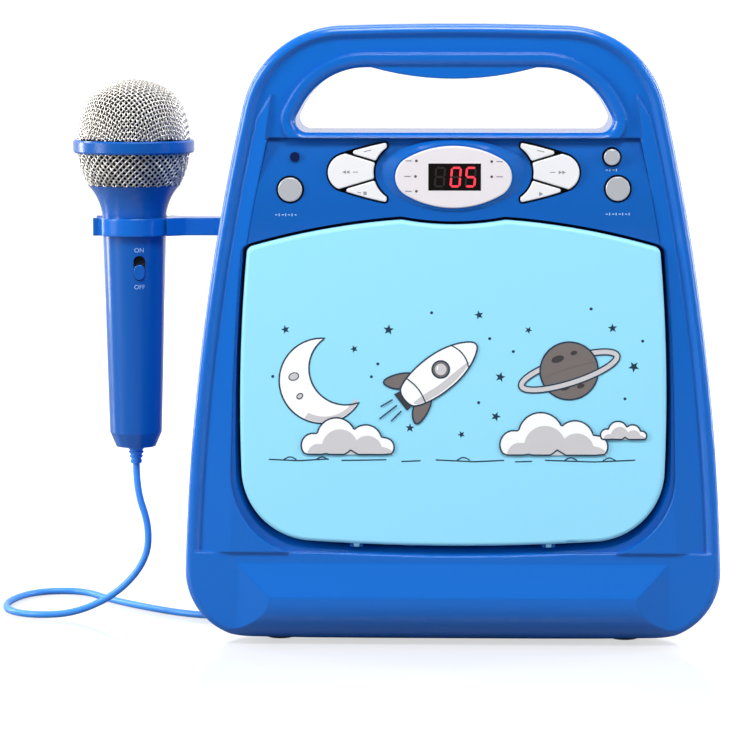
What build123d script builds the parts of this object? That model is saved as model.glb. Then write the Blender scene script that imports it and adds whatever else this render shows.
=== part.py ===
from build123d import *
import math
import os

# Children's karaoke player: a carry-handled cabinet with a disc compartment behind a
# drop-down front door, a control panel above it, and a corded microphone that stands
# in a C-clip on the left side.  Millimetres, +Z up, front towards -Y.  The origin is
# the middle of the cabinet's footprint, at the level of the feet.

# ---------------------------------------------------------------- driving dimensions
# Cabinet silhouette: two side arcs, a top arc and a bottom arc with rounded corners
HALF_W = 126.2
SIDE_R = 1110.0
WIDEST_Z = 4.0
TOP_Z = 291.6
WIDE = HALF_W / 126.2
TOP_R = 1500.0
TOP_CORNER_R = 48.0
BOTTOM_Z = 1.4
BOTTOM_R = 2600.0
BOTTOM_CORNER_R = 32.0

# Depths along Y
RIM_Y = -60.5
BASE_Y = -58.5
CHIN_Y = -66.0
PARTING_Y = -25.0
REAR_Y = 62.0
WALL = 2.6
ROLL_R = 3.6

# Recess inside the rolled rim, and the raised side facets
POCKET_TOP_INSET = 4.0
POCKET_FLOOR_INSET = 6.2
FACET_INSET = 7.4
FACET_RISE_PER_MM = 0.21
PANEL_INSET = 14.6
FACET_BOTTOM_Z = 44.5
FACET_TIP = (84.4 * WIDE, TOP_Z - 32.6)
FACET_SHOULDER = (96.5 * WIDE, TOP_Z - 51.6)
FACET_HEEL = (87.2 * WIDE, TOP_Z - 53.6)

# Carry-handle opening
GRIP_BOTTOM_Z = TOP_Z - 50.2
GRIP_TOP_Z = TOP_Z - 20.2
GRIP_HALF_BOTTOM = 77.0 * WIDE
GRIP_HALF_TOP = 61.0 * WIDE
GRIP_LOW_R = 5.5
GRIP_HIGH_R = 34.0
GRIP_EDGE_R = 4.2
GRIP_RING = 6.4
BUMP_HALF_W = 38.0 * WIDE
BUMP_DROP = 5.2
HANDLE_REAR_Y = -15.0

# Chin under the door
CHIN_TOP_Z = 39.4
CHIN_RIDGE_Z = 23.9
CHIN_HALF_W = 101.0 * WIDE
CHIN_END = 16.0
CHIN_END_R = 16.0
BOTTOM_ROLL_R = 20.6

# Disc door
DOOR_TOP_Z = TOP_Z - 89.6
DOOR_TOP_R = 336.0
DOOR_BOTTOM_Z = 48.1
DOOR_BOTTOM_R = 1000.0
DOOR_HALF_W = 99.4 * WIDE
DOOR_SIDE_R = 800.0
DOOR_WIDEST_Z = 112.0
DOOR_LOW_R = 34.0
DOOR_HIGH_R = 3.5
DOOR_DIP_Z = TOP_Z - 92.7
DOOR_DIP_R = 132.0
DOOR_GAP = 1.5
DOOR_FRONT_Y = -63.0
DOOR_SKIN = 2.2
DOOR_RIM_DEPTH = 6.0
DOOR_RIM_WALL = 2.0
DOOR_EDGE_R = 2.0
WELL_WALL = 2.0
MOUTH_HALF_W = 104.0 * WIDE
MOUTH_SIDE_R = 1500.0
MOUTH_WIDEST_Z = 60.0
MOUTH_BOTTOM_Z = 40.6
MOUTH_LOW_R = 38.0
MOUTH_DEPTH = 6.0
LEDGE_W = 2.0
LEDGE_THICK = 2.2
SEAM = 0.15
HINGE_X = 45.0 * WIDE
HINGE_Y = -59.2
HINGE_DROP = 0.8
HINGE_Z = DOOR_BOTTOM_Z + HINGE_X ** 2 / (2 * DOOR_BOTTOM_R) - HINGE_DROP
HINGE_PIN_R = 0.6
KNUCKLE_HALF_W = 1.25
LUG_R = 1.15
LUG_W = 1.6
LUG_SIDE_GAP = 0.2
HINGE_PIN_HALF = KNUCKLE_HALF_W + LUG_SIDE_GAP + LUG_W
RUNNING_GAP = 0.05
LINER_THICK = 1.5
LINER_GAP = 0.3
LINER_LOW_Z = 57.0
LATCH_TAB_W = 8.0
LATCH_TAB_THICK = 2.4
LATCH_Z = TOP_Z - 98.6
LATCH_TAB_TIP_Y = -47.6
LATCH_FRONT_Y = -49.0
LATCH_GAP = 0.6

# Disc bay and mechanism
DISC_R = 60.0
DISC_CENTRE_Z = 121.0
DECK_FRONT_Y = -42.0
DECK_THICK = 2.2
DECK_WELL_R = 63.5
DECK_WELL_DEPTH = 2.0
HUB_R = 7.4
HUB_BOSS_R = 15.0
HUB_TIP_Y = -47.5
HUB_SEAT_Y = -44.0
HUB_HOLE_R = 16.5
BEAD_R = 1.0
BEAD_PROUD = 0.15
SHAFT_R = 1.25
MOTOR_R = 12.0
MOTOR_LENGTH = 12.0
SLOT_HALF_W = 9.0
SLOT_END_X = DISC_R + 4.5
SLED_TRAVEL = 33.0
SLED_INNER_X = 25.0
SLED_HALF_W = 10.5
SLED_HALF_H = 19.5
SLED_FRONT_Y = -37.0
SLED_THICK = 7.0
ROD_R = 1.5
ROD_SPREAD = 16.0
ROD_Y = -33.5
LENS_R = 3.4
LENS_FRONT_Y = -42.6

# Control panel
PANEL_TOP_Z = TOP_Z - 52.8
PANEL_SHEET = 2.2
PANEL_TOP_Y = -56.4
PANEL_CREST_Y = -60.2
PANEL_LOW_Y = -59.4
PANEL_SEAT_Y = -54.2
PANEL_EDGE_WALL = 3.0
DISPLAY_Z = TOP_Z - 70.6
DISPLAY_A = 27.0 * WIDE
DISPLAY_B = 14.4
MOUND_A = 35.5 * WIDE
MOUND_B = 17.6
MOUND_TOP_A = 28.0 * WIDE
MOUND_TOP_B = 15.3
MOUND_Y = -61.8
BEZEL_PROUD = 0.9
BEZEL_SEAT = 1.6
WINDOW_W = 24.4
WINDOW_H = 12.6
WINDOW_X = 0.5

# Keys and buttons
KEY_Z = TOP_Z - 68.6
KEY_OUTER_A = 58.2 * WIDE
KEY_OUTER_B = 16.8
KEY_INNER_A = 37.1 * WIDE
KEY_INNER_B = 20.2
OVAL_END = 0.6
KEY_TIP_X = 31.0 * WIDE
KEY_SPLIT_X = 36.2 * WIDE
KEY_SPLIT_HIGH = 5.0
KEY_SPLIT_LOW = 3.1
KEY_SPLIT_SLOPE = 0.30
KEY_SPLIT_GAP = 1.0
KEY_GAP = 0.9
KEY_FRONT_Y = -61.6
KEY_FLANGE = 0.9
KEY_FLANGE_THICK = 1.4
KEY_CORNER_R = 0.9
KEY_CROWN_R = 0.6
KEY_SEAT_GAP = 0.3
PAD_Y = -54.6
PAD_MARGIN = 2.2
BOARD_Y = -50.4
BOARD_THICK = 1.6
SWITCH_PROUD = 1.3
BUTTON_LEFT = (-75.8 * WIDE, TOP_Z - 76.6, 5.6)
BUTTON_RIGHT = (76.0 * WIDE, TOP_Z - 76.0, 5.6)
BUTTON_SMALL = (73.2 * WIDE, TOP_Z - 61.4, 3.7)
SENSOR = (-73.7 * WIDE, TOP_Z - 61.5, 2.2)

# Rear cabinet
REAR_INSET_FRONT = 1.2
REAR_INSET_BACK = 20.0
REAR_CORNER_R = 58.0
REAR_CLEAR_Z = 2.6
REAR_SHOULDER = (REAR_Y, TOP_Z - 141.6)
REAR_SHOULDER_R = 60.0
REAR_SHELF = (18.0, TOP_Z - 62.6)
REAR_SHELF_R = 18.0
REAR_NECK = (-10.0, TOP_Z - 50.6)
REAR_NECK_R = 12.0
REAR_EDGE_R = 6.0
BOSS_R = 4.2
SCREW_R = 1.5
SCREW_HEAD_R = 3.0
SCREW_SPOTS = tuple((side * WIDE * x, z) for x, z in ((90.0, 42.0), (86.0, TOP_Z - 41.6))
                    for side in (-1, 1))

# Speaker in the rear wall
SPEAKER_Z = 97.0
SPEAKER_R = 35.0
SPEAKER_FLANGE = 2.0
CONE_R = 30.0
MAGNET_R = 19.0
MAGNET_DEPTH = 12.0
BASKET_DEPTH = 18.0
GRILLE_PITCH = 6.5
GRILLE_SLOT = 3.0

# Rear connectors, battery bay and feet
JACK_Z = 118.0
MIC_JACK_XS = (-82.0 * WIDE, -62.0 * WIDE)
AUX_JACK = (-72.0 * WIDE, 98.0)
MIC_JACK_R = 3.2
AUX_JACK_R = 1.8
JACK_DEPTH = 16.0
JACK_BODY = 12.0
NOSE_WALL = 1.2
INLET = (72.0 * WIDE, 92.0)
INLET_W = 18.0
INLET_H = 9.0
INLET_DEPTH = 11.0
KNOB_XS = (62.0 * WIDE, 82.0 * WIDE)
KNOB_R = 6.5
KNOB_LENGTH = 10.0
KNOB_WALL_GAP = 0.4
BAY = (-50.0, 50.0, 16.0, 58.0)
BAY_FLOOR_Y = 8.0
BAY_WALL = 2.0
BAY_DOOR_GAP = 0.4
BAY_DOOR_THICK = 2.2
BAY_PIN_R = 1.2
FOOT_R = 7.0
FOOT_POCKET = 1.4
FRONT_FEET = (82.0 * WIDE, -36.0)
REAR_FEET = (50.0, 46.0)
MIDDLE_FOOT = (0.0, 0.0)
POCKET_GAP = 0.1

# Microphone and its side holder
MIC_X = -HALF_W - 28.4
MIC_Y = 5.0
CLIP_Z = 193.6
CLIP_H = 8.6
CLIP_R = 15.9
CLIP_WALL = 2.4
CLIP_MOUTH_DEG = 46.0
CLIP_LIP = 3.4
ARM_W = 12.0
ARM_END_X = -HALF_W + 18.2
TENON_W = 8.0
TENON_LENGTH = 7.0
MIC_GAP = 0.35
BALL_TOP_Z = 264.3
BALL_R = 27.2
BALL_CAP = (17.4, 259.35)
BALL_SHOULDER = (24.2, 251.0)
RING_Z = 232.2
RING_H = 6.2
RING_R = 29.3
GRILLE_WALL = 1.2
NECK_TOP_Z = 213.4
NECK_TOP_R = 22.3
NECK_WAIST = (17.2, 205.5)
HANDLE_TOP_R = 15.3
HANDLE_LOW_R = 12.6
HANDLE_LOW_Z = 93.0
HANDLE_END_R = 9.6
HANDLE_END_Z = 86.0
CUP_R = 16.0
CUP_DEPTH = 6.0
CAPSULE_R = 13.0
RELIEF_R = 4.2
RELIEF_TIP_R = 2.5
RELIEF_END_Z = 77.5
SWITCH_X = 3.6
SWITCH_Z = 174.0
SWITCH_W = 5.6
SWITCH_H = 12.0
SWITCH_DEPTH = 3.0
SLIDER_H = 7.4
SLIDER_SUNK = 0.2
SWITCH_TRAVEL = 4.0

# Microphone cord: the free stretch, then a put-away coil and the plug behind the cabinet
CORD_D = 3.4
CORD_Z = 1.75
COIL_MEAN_R = 20.4
COIL_ROWS = 4
COIL_LAYERS = 2
COIL_CENTRE = (-62.5, 96.0)
PLUG_RELIEF = 12.0
PLUG_BARREL_R = 5.2
PLUG_BARREL = 26.0
PLUG_PIN_R = 3.15
PLUG_PIN = 30.0


# ---------------------------------------------------------------- drawing helpers
def plate(face, y):
    """Place a sketch drawn as (x, z) at depth y."""
    return Plane.XZ.offset(-y) * face


def slab(face, y_front, y_rear):
    """Extrude a sketch drawn as (x, z) from one depth to another."""
    return extrude(plate(face, y_rear), amount=y_rear - y_front)


def side_slab(face, half_w):
    """Extrude a sketch drawn as (y, z) across the middle plane."""
    return extrude(Plane.YZ.offset(-half_w) * face, amount=2 * half_w)


def pole(x, z, r, y_front, y_rear):
    """Round bar along Y."""
    return slab(Pos(x, z) * Circle(r), y_front, y_rear)


def area(*points):
    """Closed polygon."""
    return make_face(Polyline(*points, close=True))


def span(x0, z0, x1, z1):
    """Rectangle between two corners."""
    return Pos((x0 + x1) / 2, (z0 + z1) / 2) * Rectangle(abs(x1 - x0), abs(z1 - z0))


def oval(a, b):
    """Four-arc oval close to an ellipse of half-axes a and b."""
    end_r = b * b / a + OVAL_END * (b - b * b / a) / 2
    side_r = ((a - end_r) ** 2 + b ** 2 - end_r ** 2) / (2 * (b - end_r))
    reach = side_r / (side_r - end_r)
    x, z = (a - end_r) * reach, (side_r - b) * (reach - 1)
    arcs = [ThreePointArc((-x, z), (0, b), (x, z)), ThreePointArc((x, z), (a, 0), (x, -z)),
            ThreePointArc((x, -z), (0, -b), (-x, -z)), ThreePointArc((-x, -z), (-a, 0), (-x, z))]
    return make_face([edge for arc in arcs for edge in arc.edges()])


def block(x0, x1, y0, y1, z0, z1):
    """Box between two corners."""
    return Pos((x0 + x1) / 2, (y0 + y1) / 2, (z0 + z1) / 2) * Box(x1 - x0, y1 - y0, z1 - z0)


def mirrored(shape):
    """The same shape on the other side of the middle plane."""
    return mirror(shape, about=Plane.YZ)


def lens(half_w, side_r, widest_z, top_z, top_r, bottom_z, bottom_r, low_r, high_r):
    """Region between two side arcs, a top arc and a bottom arc, with rounded corners."""
    offset_x = side_r - half_w
    shape = Pos(-offset_x, widest_z) * Rot(0, 0, 180) * Circle(side_r)
    shape &= Pos(offset_x, widest_z) * Circle(side_r)
    shape &= Pos(0, top_z - top_r) * Circle(top_r)
    shape &= Pos(0, bottom_z + bottom_r) * Rot(0, 0, 90) * Circle(bottom_r)
    shape = fillet(shape.vertices().sort_by(Axis.Y)[-2:], high_r)
    return fillet(shape.vertices().sort_by(Axis.Y)[:2], low_r)


def outline(inset=0.0, low_r=BOTTOM_CORNER_R, raise_bottom=0.0):
    """Cabinet silhouette moved inwards by the inset."""
    return lens(HALF_W - inset, SIDE_R - inset, WIDEST_Z, TOP_Z - inset, TOP_R - inset,
                BOTTOM_Z + inset + raise_bottom, BOTTOM_R - inset, low_r - inset,
                TOP_CORNER_R - inset)


def door_lens(grow=0.0):
    """Disc door silhouette without the dip under the display."""
    return lens(DOOR_HALF_W + grow, DOOR_SIDE_R + grow, DOOR_WIDEST_Z, DOOR_TOP_Z + grow,
                DOOR_TOP_R + grow, DOOR_BOTTOM_Z - grow, DOOR_BOTTOM_R + grow,
                DOOR_LOW_R + grow, DOOR_HIGH_R + grow)


def door_outline(grow=0.0):
    """Disc door silhouette, grown outwards all round."""
    dip = Pos(0, DOOR_DIP_Z + DOOR_DIP_R) * Circle(DOOR_DIP_R - grow)
    return door_lens(grow) - dip


def mouth_lens():
    """Outer edge of the chamfer that leads into the door well."""
    return lens(MOUTH_HALF_W, MOUTH_SIDE_R, MOUTH_WIDEST_Z, DOOR_TOP_Z + DOOR_GAP,
                DOOR_TOP_R + DOOR_GAP, MOUTH_BOTTOM_Z, DOOR_BOTTOM_R, MOUTH_LOW_R,
                DOOR_HIGH_R + DOOR_GAP)


def grip_opening(grow=0.0):
    """Carry-handle opening, grown outwards, without the grip bump."""
    low, high = GRIP_BOTTOM_Z, GRIP_TOP_Z
    shape = area((-GRIP_HALF_BOTTOM, low), (GRIP_HALF_BOTTOM, low),
                 (GRIP_HALF_TOP, high), (-GRIP_HALF_TOP, high))
    shape = fillet(shape.vertices().sort_by(Axis.Y)[:2], GRIP_LOW_R)
    shape = fillet(shape.vertices().sort_by(Axis.Y)[-2:], GRIP_HIGH_R)
    return offset(shape, amount=grow) if grow else shape


def grip_bump():
    """Finger pad that hangs into the opening from its top edge."""
    root = GRIP_TOP_Z + WALL
    edge = ThreePointArc((-BUMP_HALF_W, GRIP_TOP_Z), (0, GRIP_TOP_Z - BUMP_DROP),
                         (BUMP_HALF_W, GRIP_TOP_Z))
    sides = Polyline((BUMP_HALF_W, GRIP_TOP_Z), (BUMP_HALF_W, root), (-BUMP_HALF_W, root),
                     (-BUMP_HALF_W, GRIP_TOP_Z))
    return make_face(edge.edges() + sides.edges())


def panel_outline(grow=0.0):
    """Control panel silhouette between the side facets, over the door."""
    low = DOOR_TOP_Z - DOOR_HALF_W ** 2 / (2 * DOOR_TOP_R) + 1.6
    field = outline(PANEL_INSET - grow) & span(-HALF_W, low - grow, HALF_W, PANEL_TOP_Z + grow)
    return field - door_outline(DOOR_GAP - min(grow, 0.0))


# ---------------------------------------------------------------- front cabinet
def roll_cutter():
    """What the big bottom roll takes off the front lower edge."""
    centre_y = CHIN_Y + BOTTOM_ROLL_R
    centre_z = BOTTOM_Z + BOTTOM_ROLL_R
    corner = span(CHIN_Y - 5, BOTTOM_Z - 5, centre_y, centre_z)
    return side_slab(corner - Pos(centre_y, centre_z) * Circle(BOTTOM_ROLL_R), HALF_W + 5)


def chin():
    """Bulging bezel under the door, with an upward facet and rounded ends."""
    centre_y = CHIN_Y + BOTTOM_ROLL_R
    profile = area((RIM_Y, CHIN_TOP_Z), (CHIN_Y, CHIN_RIDGE_Z), (CHIN_Y, BOTTOM_Z),
                   (centre_y, BOTTOM_Z), (centre_y, CHIN_TOP_Z))
    flat_half = CHIN_HALF_W - CHIN_END
    nose = CHIN_Y - 0.5
    plan = area((-HALF_W, centre_y), (-HALF_W, RIM_Y), (-CHIN_HALF_W, RIM_Y),
                (-flat_half, nose), (flat_half, nose), (CHIN_HALF_W, RIM_Y),
                (HALF_W, RIM_Y), (HALF_W, centre_y))
    plan = fillet(plan.vertices().filter_by(lambda v: abs(v.Y - nose) < 0.01), CHIN_END_R)
    plan = fillet(plan.vertices().filter_by(
        lambda v: abs(abs(v.X) - CHIN_HALF_W) < 0.01), CHIN_END_R / 2)
    body = side_slab(profile, HALF_W) & slab(outline(), CHIN_Y, centre_y)
    rolled = slab(outline(), RIM_Y, centre_y)
    rolled = fillet(rolled.faces().sort_by(Axis.Y)[0].edges(), ROLL_R)
    body &= rolled + slab(outline(ROLL_R + 0.4), CHIN_Y, RIM_Y + ROLL_R)
    return (body & extrude(plan, amount=CHIN_TOP_Z)) - roll_cutter()


def side_facet():
    """Raised facet between the rim valley and the door, on the left."""
    rise = (PANEL_INSET + 6.0) - FACET_INSET
    dish = loft([plate(outline(FACET_INSET), BASE_Y - 0.3).faces()[0],
                 plate(outline(FACET_INSET + rise),
                       BASE_Y - 0.3 - rise * FACET_RISE_PER_MM).faces()[0]], ruled=True)
    dish += slab(outline(FACET_INSET), BASE_Y - 0.3, BASE_Y + 0.4)
    band = outline(FACET_INSET) & span(-HALF_W, FACET_BOTTOM_Z, -60, FACET_TIP[1])
    band -= outline(PANEL_INSET - SEAM) & span(-HALF_W, DOOR_TOP_Z - 14, HALF_W, TOP_Z)
    band -= mouth_lens()
    tip = area((-FACET_SHOULDER[0], FACET_SHOULDER[1]), (-FACET_TIP[0], FACET_TIP[1]),
               (-FACET_TIP[0], TOP_Z), (-HALF_W, TOP_Z), (-HALF_W, FACET_SHOULDER[1]))
    band -= tip
    inner = area((-FACET_HEEL[0], FACET_HEEL[1]), (-FACET_TIP[0], FACET_TIP[1]),
                 (0, FACET_TIP[1]), (0, FACET_HEEL[1]))
    band -= inner
    return dish & slab(band, BASE_Y - 8, BASE_Y + 0.4)


def front_cabinet():
    """Front shell with the handle's front half, the door well and the panel aperture."""
    body = slab(outline(), RIM_Y, PARTING_Y)
    body = fillet(body.faces().sort_by(Axis.Y)[0].edges(), ROLL_R)
    body -= roll_cutter()
    above = span(-HALF_W, FACET_BOTTOM_Z, HALF_W, TOP_Z)
    step = POCKET_FLOOR_INSET - POCKET_TOP_INSET
    depth = BASE_Y - RIM_Y
    pocket = loft([plate(outline(POCKET_TOP_INSET - step), RIM_Y - depth).faces()[0],
                   plate(outline(POCKET_FLOOR_INSET), BASE_Y).faces()[0]], ruled=True)
    body -= pocket & slab(above, RIM_Y - depth, BASE_Y)
    body += chin()
    facet = side_facet()
    body += facet
    body += mirrored(facet)

    # hollow, leaving the opening's tube and the well's walls
    well = door_lens(DOOR_GAP)
    hollow = outline(WALL + 0.6) - grip_opening(WALL) - grip_bump()
    body -= slab(hollow - door_lens(DOOR_GAP + WELL_WALL), BASE_Y + WALL, PARTING_Y)
    body -= slab(door_lens(DOOR_GAP + WELL_WALL), DECK_FRONT_Y, PARTING_Y)

    # panel aperture with its ledge, then the door well with its chamfered mouth
    ledge_y = PANEL_SEAT_Y
    body += slab(panel_outline(WALL) - panel_outline(-LEDGE_W), BASE_Y + WALL / 2,
                 ledge_y + LEDGE_THICK)
    body -= slab(panel_outline(SEAM), RIM_Y - 10, ledge_y)
    body -= slab(panel_outline(-LEDGE_W), RIM_Y - 10, ledge_y + LEDGE_THICK + 1)
    body += slab(door_lens(DOOR_GAP + WELL_WALL) - door_outline(DOOR_GAP), ledge_y,
                 DECK_FRONT_Y)
    body -= slab(door_outline(DOOR_GAP), RIM_Y - 10, DECK_FRONT_Y)
    mouth = loft([plate(mouth_lens(), RIM_Y - 3.0).faces()[0],
                  plate(well, RIM_Y + MOUTH_DEPTH).faces()[0]], ruled=True)
    low_half = span(-HALF_W, 0, HALF_W, DOOR_TOP_Z - 14)
    body -= mouth & slab(low_half, RIM_Y - 10, RIM_Y + MOUTH_DEPTH)

    # handle opening with a rounded edge, and the finger pad
    body -= slab(grip_opening(GRIP_RING - 0.5), RIM_Y - 5, BASE_Y + WALL)
    ring = slab(grip_opening(GRIP_RING), RIM_Y, BASE_Y + WALL + 0.5)
    ring &= slab(span(-HALF_W, PANEL_TOP_Z + SEAM, HALF_W, TOP_Z), RIM_Y, PARTING_Y)
    ring -= slab(grip_opening(), RIM_Y - 5, PARTING_Y)
    inner = [e for e in ring.edges() if abs(e.center().Y - RIM_Y) < 0.01
             and grip_opening(0.4).faces()[0].is_inside(Vector(e.center().X, e.center().Z, 0))]
    ring = fillet(inner, GRIP_EDGE_R) if inner else ring
    body += ring
    body -= slab(grip_opening(), RIM_Y - 5, PARTING_Y)
    body += slab(grip_bump(), BASE_Y, PARTING_Y)
    return body + screw_bosses() + hinge_lugs() - foot_pocket()


# ---------------------------------------------------------------- control panel
def panel_profile(back_off=0.0):
    """Everything behind the panel's bulging front surface, drawn as (y, z)."""
    low_z = DOOR_TOP_Z - 20
    high = (PANEL_TOP_Y + back_off, PANEL_TOP_Z)
    low = (PANEL_LOW_Y + back_off, low_z)
    front = ThreePointArc(high, (PANEL_CREST_Y + back_off, DISPLAY_Z - 4), low)
    rest = Polyline(low, (PARTING_Y, low_z), (PARTING_Y, PANEL_TOP_Z), high)
    return make_face(front.edges() + rest.edges())


def corners(face):
    """Vertices of a sketch where its outline turns sharply."""
    sharp = []
    for vertex in face.vertices():
        here = Vector(vertex.X, vertex.Y, vertex.Z)
        runs = [edge % (0 if (edge @ 0 - here).length < 1e-3 else 1) for edge in face.edges()
                if min((edge @ 0 - here).length, (edge @ 1 - here).length) < 1e-3]
        if len(runs) == 2 and runs[0].cross(runs[1]).length > 0.12:
            sharp.append(vertex)
    return sharp


def sharp_wing():
    """Region of the left key group between two ovals, with sharp tips."""
    here = Pos(0, KEY_Z)
    wing = here * oval(KEY_OUTER_A, KEY_OUTER_B) - here * oval(KEY_INNER_A, KEY_INNER_B)
    return wing & span(-HALF_W, KEY_Z - KEY_OUTER_B, -KEY_TIP_X, KEY_Z + KEY_OUTER_B)


def key_wing(grow):
    """Wing-shaped opening for the three keys left of the display, grown outwards."""
    wing = sharp_wing()
    return offset(fillet(corners(wing), KEY_CORNER_R), amount=grow)


def key_row(row, gap):
    """Strip of the wing that one key takes: +1 upper, 0 middle, -1 lower."""
    near, far = KEY_TIP_X - 5, KEY_OUTER_A + 5

    def split(x, side):
        start = KEY_SPLIT_HIGH if side > 0 else KEY_SPLIT_LOW
        return KEY_Z + side * (start + KEY_SPLIT_SLOPE * (x - KEY_SPLIT_X))

    if row == 0:
        return area((-near, split(near, 1) - gap / 2), (-far, split(far, 1) - gap / 2),
                    (-far, split(far, -1) + gap / 2), (-near, split(near, -1) + gap / 2))
    edge = KEY_Z + row * 2 * KEY_OUTER_B
    return area((-near, split(near, row) + row * gap / 2),
                (-far, split(far, row) + row * gap / 2), (-far, edge), (-near, edge))


def wing_key(row):
    """One key of the left wing: crowned cap over a flange that stops behind the panel."""
    flange_y = PAD_Y + KEY_SEAT_GAP
    face = sharp_wing() & key_row(row, KEY_SPLIT_GAP)
    face = fillet(corners(face), KEY_CORNER_R)
    cap = slab(face, KEY_FRONT_Y, flange_y)
    cap = fillet(cap.faces().sort_by(Axis.Y)[0].edges(), KEY_CROWN_R)
    flange = key_wing(KEY_GAP + KEY_FLANGE) & key_row(row, KEY_SEAT_GAP)
    flange &= panel_outline(-PANEL_EDGE_WALL - KEY_SEAT_GAP)
    return cap + slab(flange, flange_y, flange_y + KEY_FLANGE_THICK)


def round_button(x, z, r):
    """Round push button with a flange behind the panel."""
    flange_y = PAD_Y + KEY_SEAT_GAP
    cap = pole(x, z, r, KEY_FRONT_Y, flange_y)
    cap = fillet(cap.faces().sort_by(Axis.Y)[0].edges(), KEY_CROWN_R)
    return cap + pole(x, z, r + KEY_GAP + KEY_FLANGE, flange_y, flange_y + KEY_FLANGE_THICK)


def board_posts():
    """Post centres (x, z) that carry the key board."""
    return [(x * WIDE, z) for x in (-64.0, 64.0) for z in (DISPLAY_Z - 12.5, DISPLAY_Z + 13.5)]


def control_panel():
    """Bulging panel with the display mound, key wells and button wells."""
    body = slab(panel_outline(), RIM_Y - 5, PANEL_SEAT_Y) & side_slab(panel_profile(), HALF_W)
    inner = slab(panel_outline(-PANEL_EDGE_WALL), RIM_Y - 5, PANEL_SEAT_Y)
    body -= inner & side_slab(panel_profile(PANEL_SHEET), HALF_W)
    here = Pos(0, DISPLAY_Z)
    mound = loft([plate(here * oval(MOUND_A, MOUND_B), PANEL_LOW_Y + 0.6).faces()[0],
                  plate(here * oval(MOUND_TOP_A, MOUND_TOP_B), MOUND_Y).faces()[0]])
    body += mound
    body += slab(here * oval(MOUND_A, MOUND_B), PANEL_LOW_Y + 0.6, PANEL_LOW_Y + 2.4)
    buttons = (BUTTON_LEFT, BUTTON_RIGHT, BUTTON_SMALL)
    pad_front = PANEL_CREST_Y + PANEL_SHEET / 2
    pads = slab(key_wing(KEY_GAP + PAD_MARGIN), pad_front, PAD_Y)
    wells = slab(key_wing(KEY_GAP), RIM_Y - 5, PANEL_SEAT_Y + 1)
    backing = pads + mirrored(pads)
    for x, z, r in buttons:
        backing += pole(x, z, r + KEY_GAP + PAD_MARGIN, pad_front, PAD_Y)
    for x, z in board_posts():
        backing += pole(x, z, 2.4, pad_front, BOARD_Y)
    body += backing & side_slab(panel_profile(), HALF_W)
    body &= side_slab(panel_profile() + span(RIM_Y - 5, DISPLAY_Z - MOUND_B,
                                             PARTING_Y, DISPLAY_Z + MOUND_B), HALF_W)
    body -= wells + mirrored(wells)
    for x, z, r in buttons:
        body -= pole(x, z, r + KEY_GAP, RIM_Y - 5, PAD_Y)
    x, z, r = SENSOR
    body -= pole(x, z, r + RUNNING_GAP, RIM_Y - 5, PANEL_SEAT_Y)
    body -= slab(here * oval(DISPLAY_A, DISPLAY_B), RIM_Y - 5, MOUND_Y + BEZEL_SEAT)
    body -= slab(Pos(WINDOW_X, DISPLAY_Z) * Rectangle(WINDOW_W, WINDOW_H), RIM_Y - 5, PAD_Y)
    return body


def display_bezel():
    """Oval trim plate round the display window, slightly crowned."""
    body = slab(Pos(0, DISPLAY_Z) * oval(DISPLAY_A, DISPLAY_B), MOUND_Y - BEZEL_PROUD,
                MOUND_Y + BEZEL_SEAT)
    body = fillet(body.faces().sort_by(Axis.Y)[0].edges(), BEZEL_PROUD * 0.8)
    return body - slab(Pos(WINDOW_X, DISPLAY_Z) * Rectangle(WINDOW_W, WINDOW_H),
                       RIM_Y - 5, PARTING_Y)


def display_window():
    """Dark window that fills the bezel's cut-out, backed by the digit block."""
    return slab(Pos(WINDOW_X, DISPLAY_Z) * Rectangle(WINDOW_W, WINDOW_H),
                MOUND_Y - BEZEL_PROUD + 0.3, BOARD_Y)


def sensor_lens():
    """Dark lens of the remote-control sensor."""
    x, z, r = SENSOR
    body = pole(x, z, r, PANEL_CREST_Y + 0.6, BOARD_Y)
    return body


def key_board():
    """Circuit board behind the keys, with one push switch under each key."""
    low = DOOR_TOP_Z + DOOR_GAP + WELL_WALL + 1.5
    half = 82.0 * WIDE
    board = slab(span(-half, low, half, GRIP_BOTTOM_Z - WALL - 1.5), BOARD_Y,
                 BOARD_Y + BOARD_THICK)
    spots = [(side * 46 * WIDE, KEY_Z + dz) for side in (-1, 1) for dz in (9.5, 0, -9.0)]
    spots += [(x, z) for x, z, r in (BUTTON_LEFT, BUTTON_RIGHT, BUTTON_SMALL)]
    for x, z in spots:
        board += pole(x, z, 2.6, BOARD_Y - SWITCH_PROUD, BOARD_Y)
    return board


# ---------------------------------------------------------------- disc door
def hinge_bar(x, half, r):
    """Round bar on the door's hinge line."""
    bar = extrude(Plane.YZ * Pos(HINGE_Y, HINGE_Z) * Circle(r), amount=half, both=True)
    return Pos(x, 0, 0) * bar


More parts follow.
